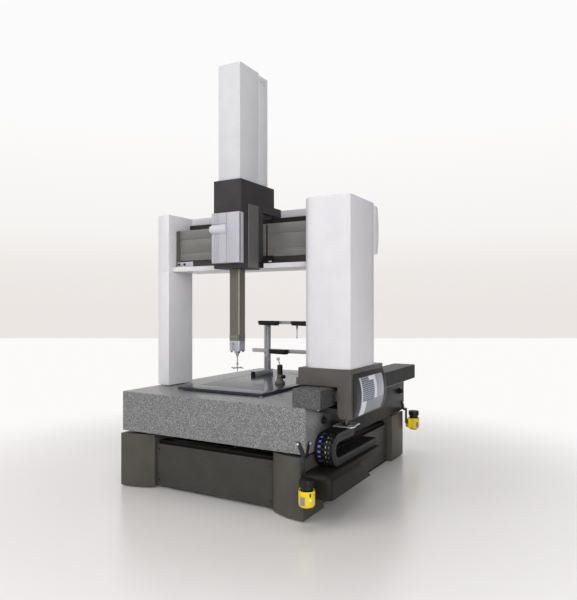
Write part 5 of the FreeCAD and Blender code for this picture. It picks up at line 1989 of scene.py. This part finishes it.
PLAIN_NODES = {
    "base_frame": "tray", "levelling_feet": "steel", "vibration_isolators": "rubber",
    "guide_scale": "steel", "plate_supports": "bright", "foot_casting": "oxide",
    "portal_air_bearings": "bare", "right_post": "bare", "carriage_bearings": "oxide",
    "balance_cylinder": "steel",
}

SOFT_NODES = {
    "front_left_column": ("base", "base", 3.0), "front_right_column": ("base", "base", 3.0),
    "rear_left_column": ("base", "base", 3.0), "rear_right_column": ("base", "base", 3.0),
    "front_panel": ("base", "panel", 1.5), "rear_panel": ("base", "panel", 1.5),
    "left_panel": ("base", "panel", 1.5), "right_panel": ("base", "panel", 1.5),
    "granite_table": ("base", "granite", 3.0), "guide_rail": ("base", "guide", 3.0),
    "table_plate": ("base", "plate", 1.2), "cable_tray": ("base", "tray", 1.0),
    "tray_side_cover": ("base", "tray", 1.5), "foot_cover": ("portal", "foot", 3.0),
    "foot_side_frame": ("portal", "frame", 2.0),
    "foot_side_cover": ("portal", "shield", 0.6),
    "right_leg_cover": ("portal", "leg", 3.0), "right_leg_cowl": ("portal", "leg", 8.0),
    "left_leg": ("portal", "pale", 3.0), "left_leg_head": ("portal", "pale", 3.0),
    "cross_beam": ("portal", "beam", 1.0), "beam_under_cover": ("portal", "pale", 3.0),
    "beam_rear_cover": ("portal", "leg", 2.0), "carriage_housing": ("carriage", "cart", 3.0),
    "carriage_side_band": ("carriage", "band", 1.0),
    "carriage_front_cover": ("carriage", "silver", 1.6),
    "column_cover": ("carriage", "hood", 3.0), "column_rear_cover": ("carriage", "hood", 3.0),
    "ram": ("ram", "ram", 1.2), "rack_feet": ("base", "profile", 0.8),
    "rack_posts": ("base", "profile", 0.8), "rack_bars": ("base", "profile", 1.0),
    "rack_end_caps": ("base", "black", 1.0),
    "scanner_brackets": ("base", "oxide", 1.0),
}


@dataclass(frozen=True)
class Lamp:
    """One square soft lamp: its place, power in watts, width and target in metres."""

    name: str
    spot: tuple[float, float, float]
    power: float
    width: float
    target: tuple[float, float, float]


LAMPS = (
    Lamp("key", (-6.8, -10.4, 8.0), 470.0, 7.0, (0.0, 0.0, 1.2)),
    Lamp("fill", (7.0, -7.5, 3.5), 480.0, 5.0, (-0.4, 0.0, 1.4)),
    Lamp("top", (0.0, 0.4, 8.0), 210.0, 6.0, (0.0, 0.0, 0.0)),
)


@dataclass(frozen=True)
class View:
    """The camera that matches the photograph, in metres, degrees and millimetres."""

    spot: tuple[float, float, float] = (2.490, -4.116, 1.350)
    heading: float = 29.5
    sensor: float = 36.0
    lens: float = 34.68
    shift_y: float = 0.0133


class Studio:
    """The pale floor, the soft lamps and the camera at the photograph's place."""

    view = View()
    floor_width: float = 42.0
    fade: Span = (1.6, 3.7)

    def build(self) -> None:
        """Set the floor, the backdrop light, the lamps and the camera."""
        self.floor()
        self.world()
        for lamp in LAMPS:
            self.hang(lamp)
        self.camera()

    def floor(self) -> None:
        """Lay the pale polished floor, which fades into the backdrop away from the machine."""
        bpy.ops.object.select_all(action="DESELECT")
        bpy.ops.mesh.primitive_plane_add(
            size=self.floor_width, location=(0.0, 0.0, 0.0),
            rotation=(0.0, 0.0, math.radians(self.view.heading)))
        plane = bpy.context.active_object
        plane.name = "floor"
        material, tree, place = start_material("polished pale floor")
        reach = add(tree, "VectorMath", {0: place}, operation="LENGTH")
        spread = add(tree, "MapRange", {
            "Value": reach.outputs["Value"], "From Min": self.fade[0],
            "From Max": self.fade[1]}, interpolation_type="SMOOTHSTEP")
        near = add(tree, "BsdfPrincipled", {
            "Base Color": linear("f0edeb"), "Roughness": 0.26, "Specular IOR Level": 0.9})
        far = add(tree, "Emission", {"Color": linear("fcfaf9"), "Strength": 1.0})
        seen = add(tree, "Math", {0: self.seen(tree), 1: spread.outputs["Result"]},
                   operation="MULTIPLY")
        mixed = add(tree, "MixShader", {
            0: seen.outputs["Value"], 1: near.outputs["BSDF"], 2: far.outputs["Emission"]})
        add(tree, "OutputMaterial", {"Surface": mixed.outputs["Shader"]})
        plane.data.materials.append(material)

    def seen(self, tree: bpy.types.NodeTree) -> bpy.types.NodeSocket:
        """Tell the rays apart that see the backdrop from those that carry light.

        Args:
            tree: The node tree of the floor or the world.

        Returns:
            1 for the camera's rays and for what metal and glass mirror, else 0.
        """
        path = add(tree, "LightPath")
        mirrored = add(tree, "Math", {0: path.outputs["Is Glossy Ray"],
                                      1: path.outputs["Is Transmission Ray"]},
                       operation="MAXIMUM")
        seen = add(tree, "Math", {0: path.outputs["Is Camera Ray"], 1: mirrored.outputs["Value"]},
                   operation="MAXIMUM")
        return seen.outputs["Value"]

    def world(self) -> None:
        """Light the room, brightest from the front left, with a pale wall behind.

        The wall is white above and a little darker near the floor. What the machine's
        surfaces mirror of the room to the right and in front of it is darker.
        """
        world = bpy.data.worlds.new("studio")
        world.use_nodes = True
        tree = world.node_tree
        tree.nodes.clear()
        place = add(tree, "TexCoord").outputs["Generated"]
        aim = add(tree, "VectorMath", {0: place, 1: (-0.55, -0.6, 0.58)},
                  operation="DOT_PRODUCT")
        level = add(tree, "MapRange", {
            "Value": aim.outputs["Value"], "From Min": -1.0, "From Max": 1.0,
            "To Min": 0.03, "To Max": 0.5})
        soft = add(tree, "Background", {"Color": linear("f2f1f1"),
                                        "Strength": level.outputs["Result"]})
        parts = add(tree, "SeparateXYZ", {"Vector": place})
        wall = ramp(tree, parts.outputs["Z"], [
            (0.0, "ebe6e3"), (0.07, "eeeae7"), (0.13, "f6f4f2"), (0.3, "fcfbfb")])
        right = add(tree, "MapRange", {
            "Value": parts.outputs["X"], "From Min": 0.0, "From Max": 0.26,
            "To Min": 1.0, "To Max": 0.1})
        front = add(tree, "MapRange", {
            "Value": parts.outputs["Y"], "From Min": -0.3, "From Max": 0.2,
            "To Min": 0.5, "To Max": 1.0})
        dim = add(tree, "Math", {0: right.outputs["Result"], 1: front.outputs["Result"]},
                  operation="MULTIPLY")
        shown = add(tree, "Math", {0: dim.outputs["Value"],
                                   1: add(tree, "LightPath").outputs["Is Camera Ray"]},
                    operation="MAXIMUM")
        pale = add(tree, "Background", {"Color": wall, "Strength": shown.outputs["Value"]})
        mixed = add(tree, "MixShader", {
            0: self.seen(tree), 1: soft.outputs["Background"], 2: pale.outputs["Background"]})
        add(tree, "OutputWorld", {"Surface": mixed.outputs["Shader"]})
        bpy.context.scene.world = world

    def hang(self, lamp: Lamp) -> None:
        """Hang one soft lamp that points at its target.

        Args:
            lamp: The lamp's place, power, width and target.
        """
        light = bpy.data.lights.new(lamp.name, "AREA")
        light.energy = lamp.power
        light.size = lamp.width
        hung = bpy.data.objects.new(lamp.name, light)
        hung.location = lamp.spot
        aim = Vector(lamp.target) - Vector(lamp.spot)
        hung.rotation_euler = aim.to_track_quat("-Z", "Y").to_euler()
        bpy.context.collection.objects.link(hung)

    def camera(self) -> None:
        """Stand the camera level at eye height, as the photograph's upright lines show."""
        view = self.view
        eye = bpy.data.cameras.new("camera")
        eye.sensor_width = view.sensor
        eye.lens = view.lens
        eye.shift_y = view.shift_y
        camera = bpy.data.objects.new("camera", eye)
        camera.location = view.spot
        camera.rotation_euler = (math.radians(90.0), 0.0, math.radians(view.heading))
        bpy.context.collection.objects.link(camera)
        bpy.context.scene.camera = camera
        bpy.context.scene.view_settings.view_transform = "Standard"


def main() -> None:
    """Load the frame, dress every node, add the fine pieces and set the studio."""
    logging.basicConfig(level=logging.INFO, format="%(message)s")
    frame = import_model()
    shop = Workshop()
    screws = Screws(shop)
    for node, finish in PLAIN_NODES.items():
        shop.paint_node(node, finish)
    for node, (body, finish, width) in SOFT_NODES.items():
        shop.soften(node, body, finish, width)
    CableChain(shop).build()
    for unit in (BaseUnit, PortalUnit, CarriageUnit, ProbeUnit, AccessoryUnit, ScannerUnit):
        unit(shop, screws).build()
    Studio().build()


if __name__ == "__main__":
    main()
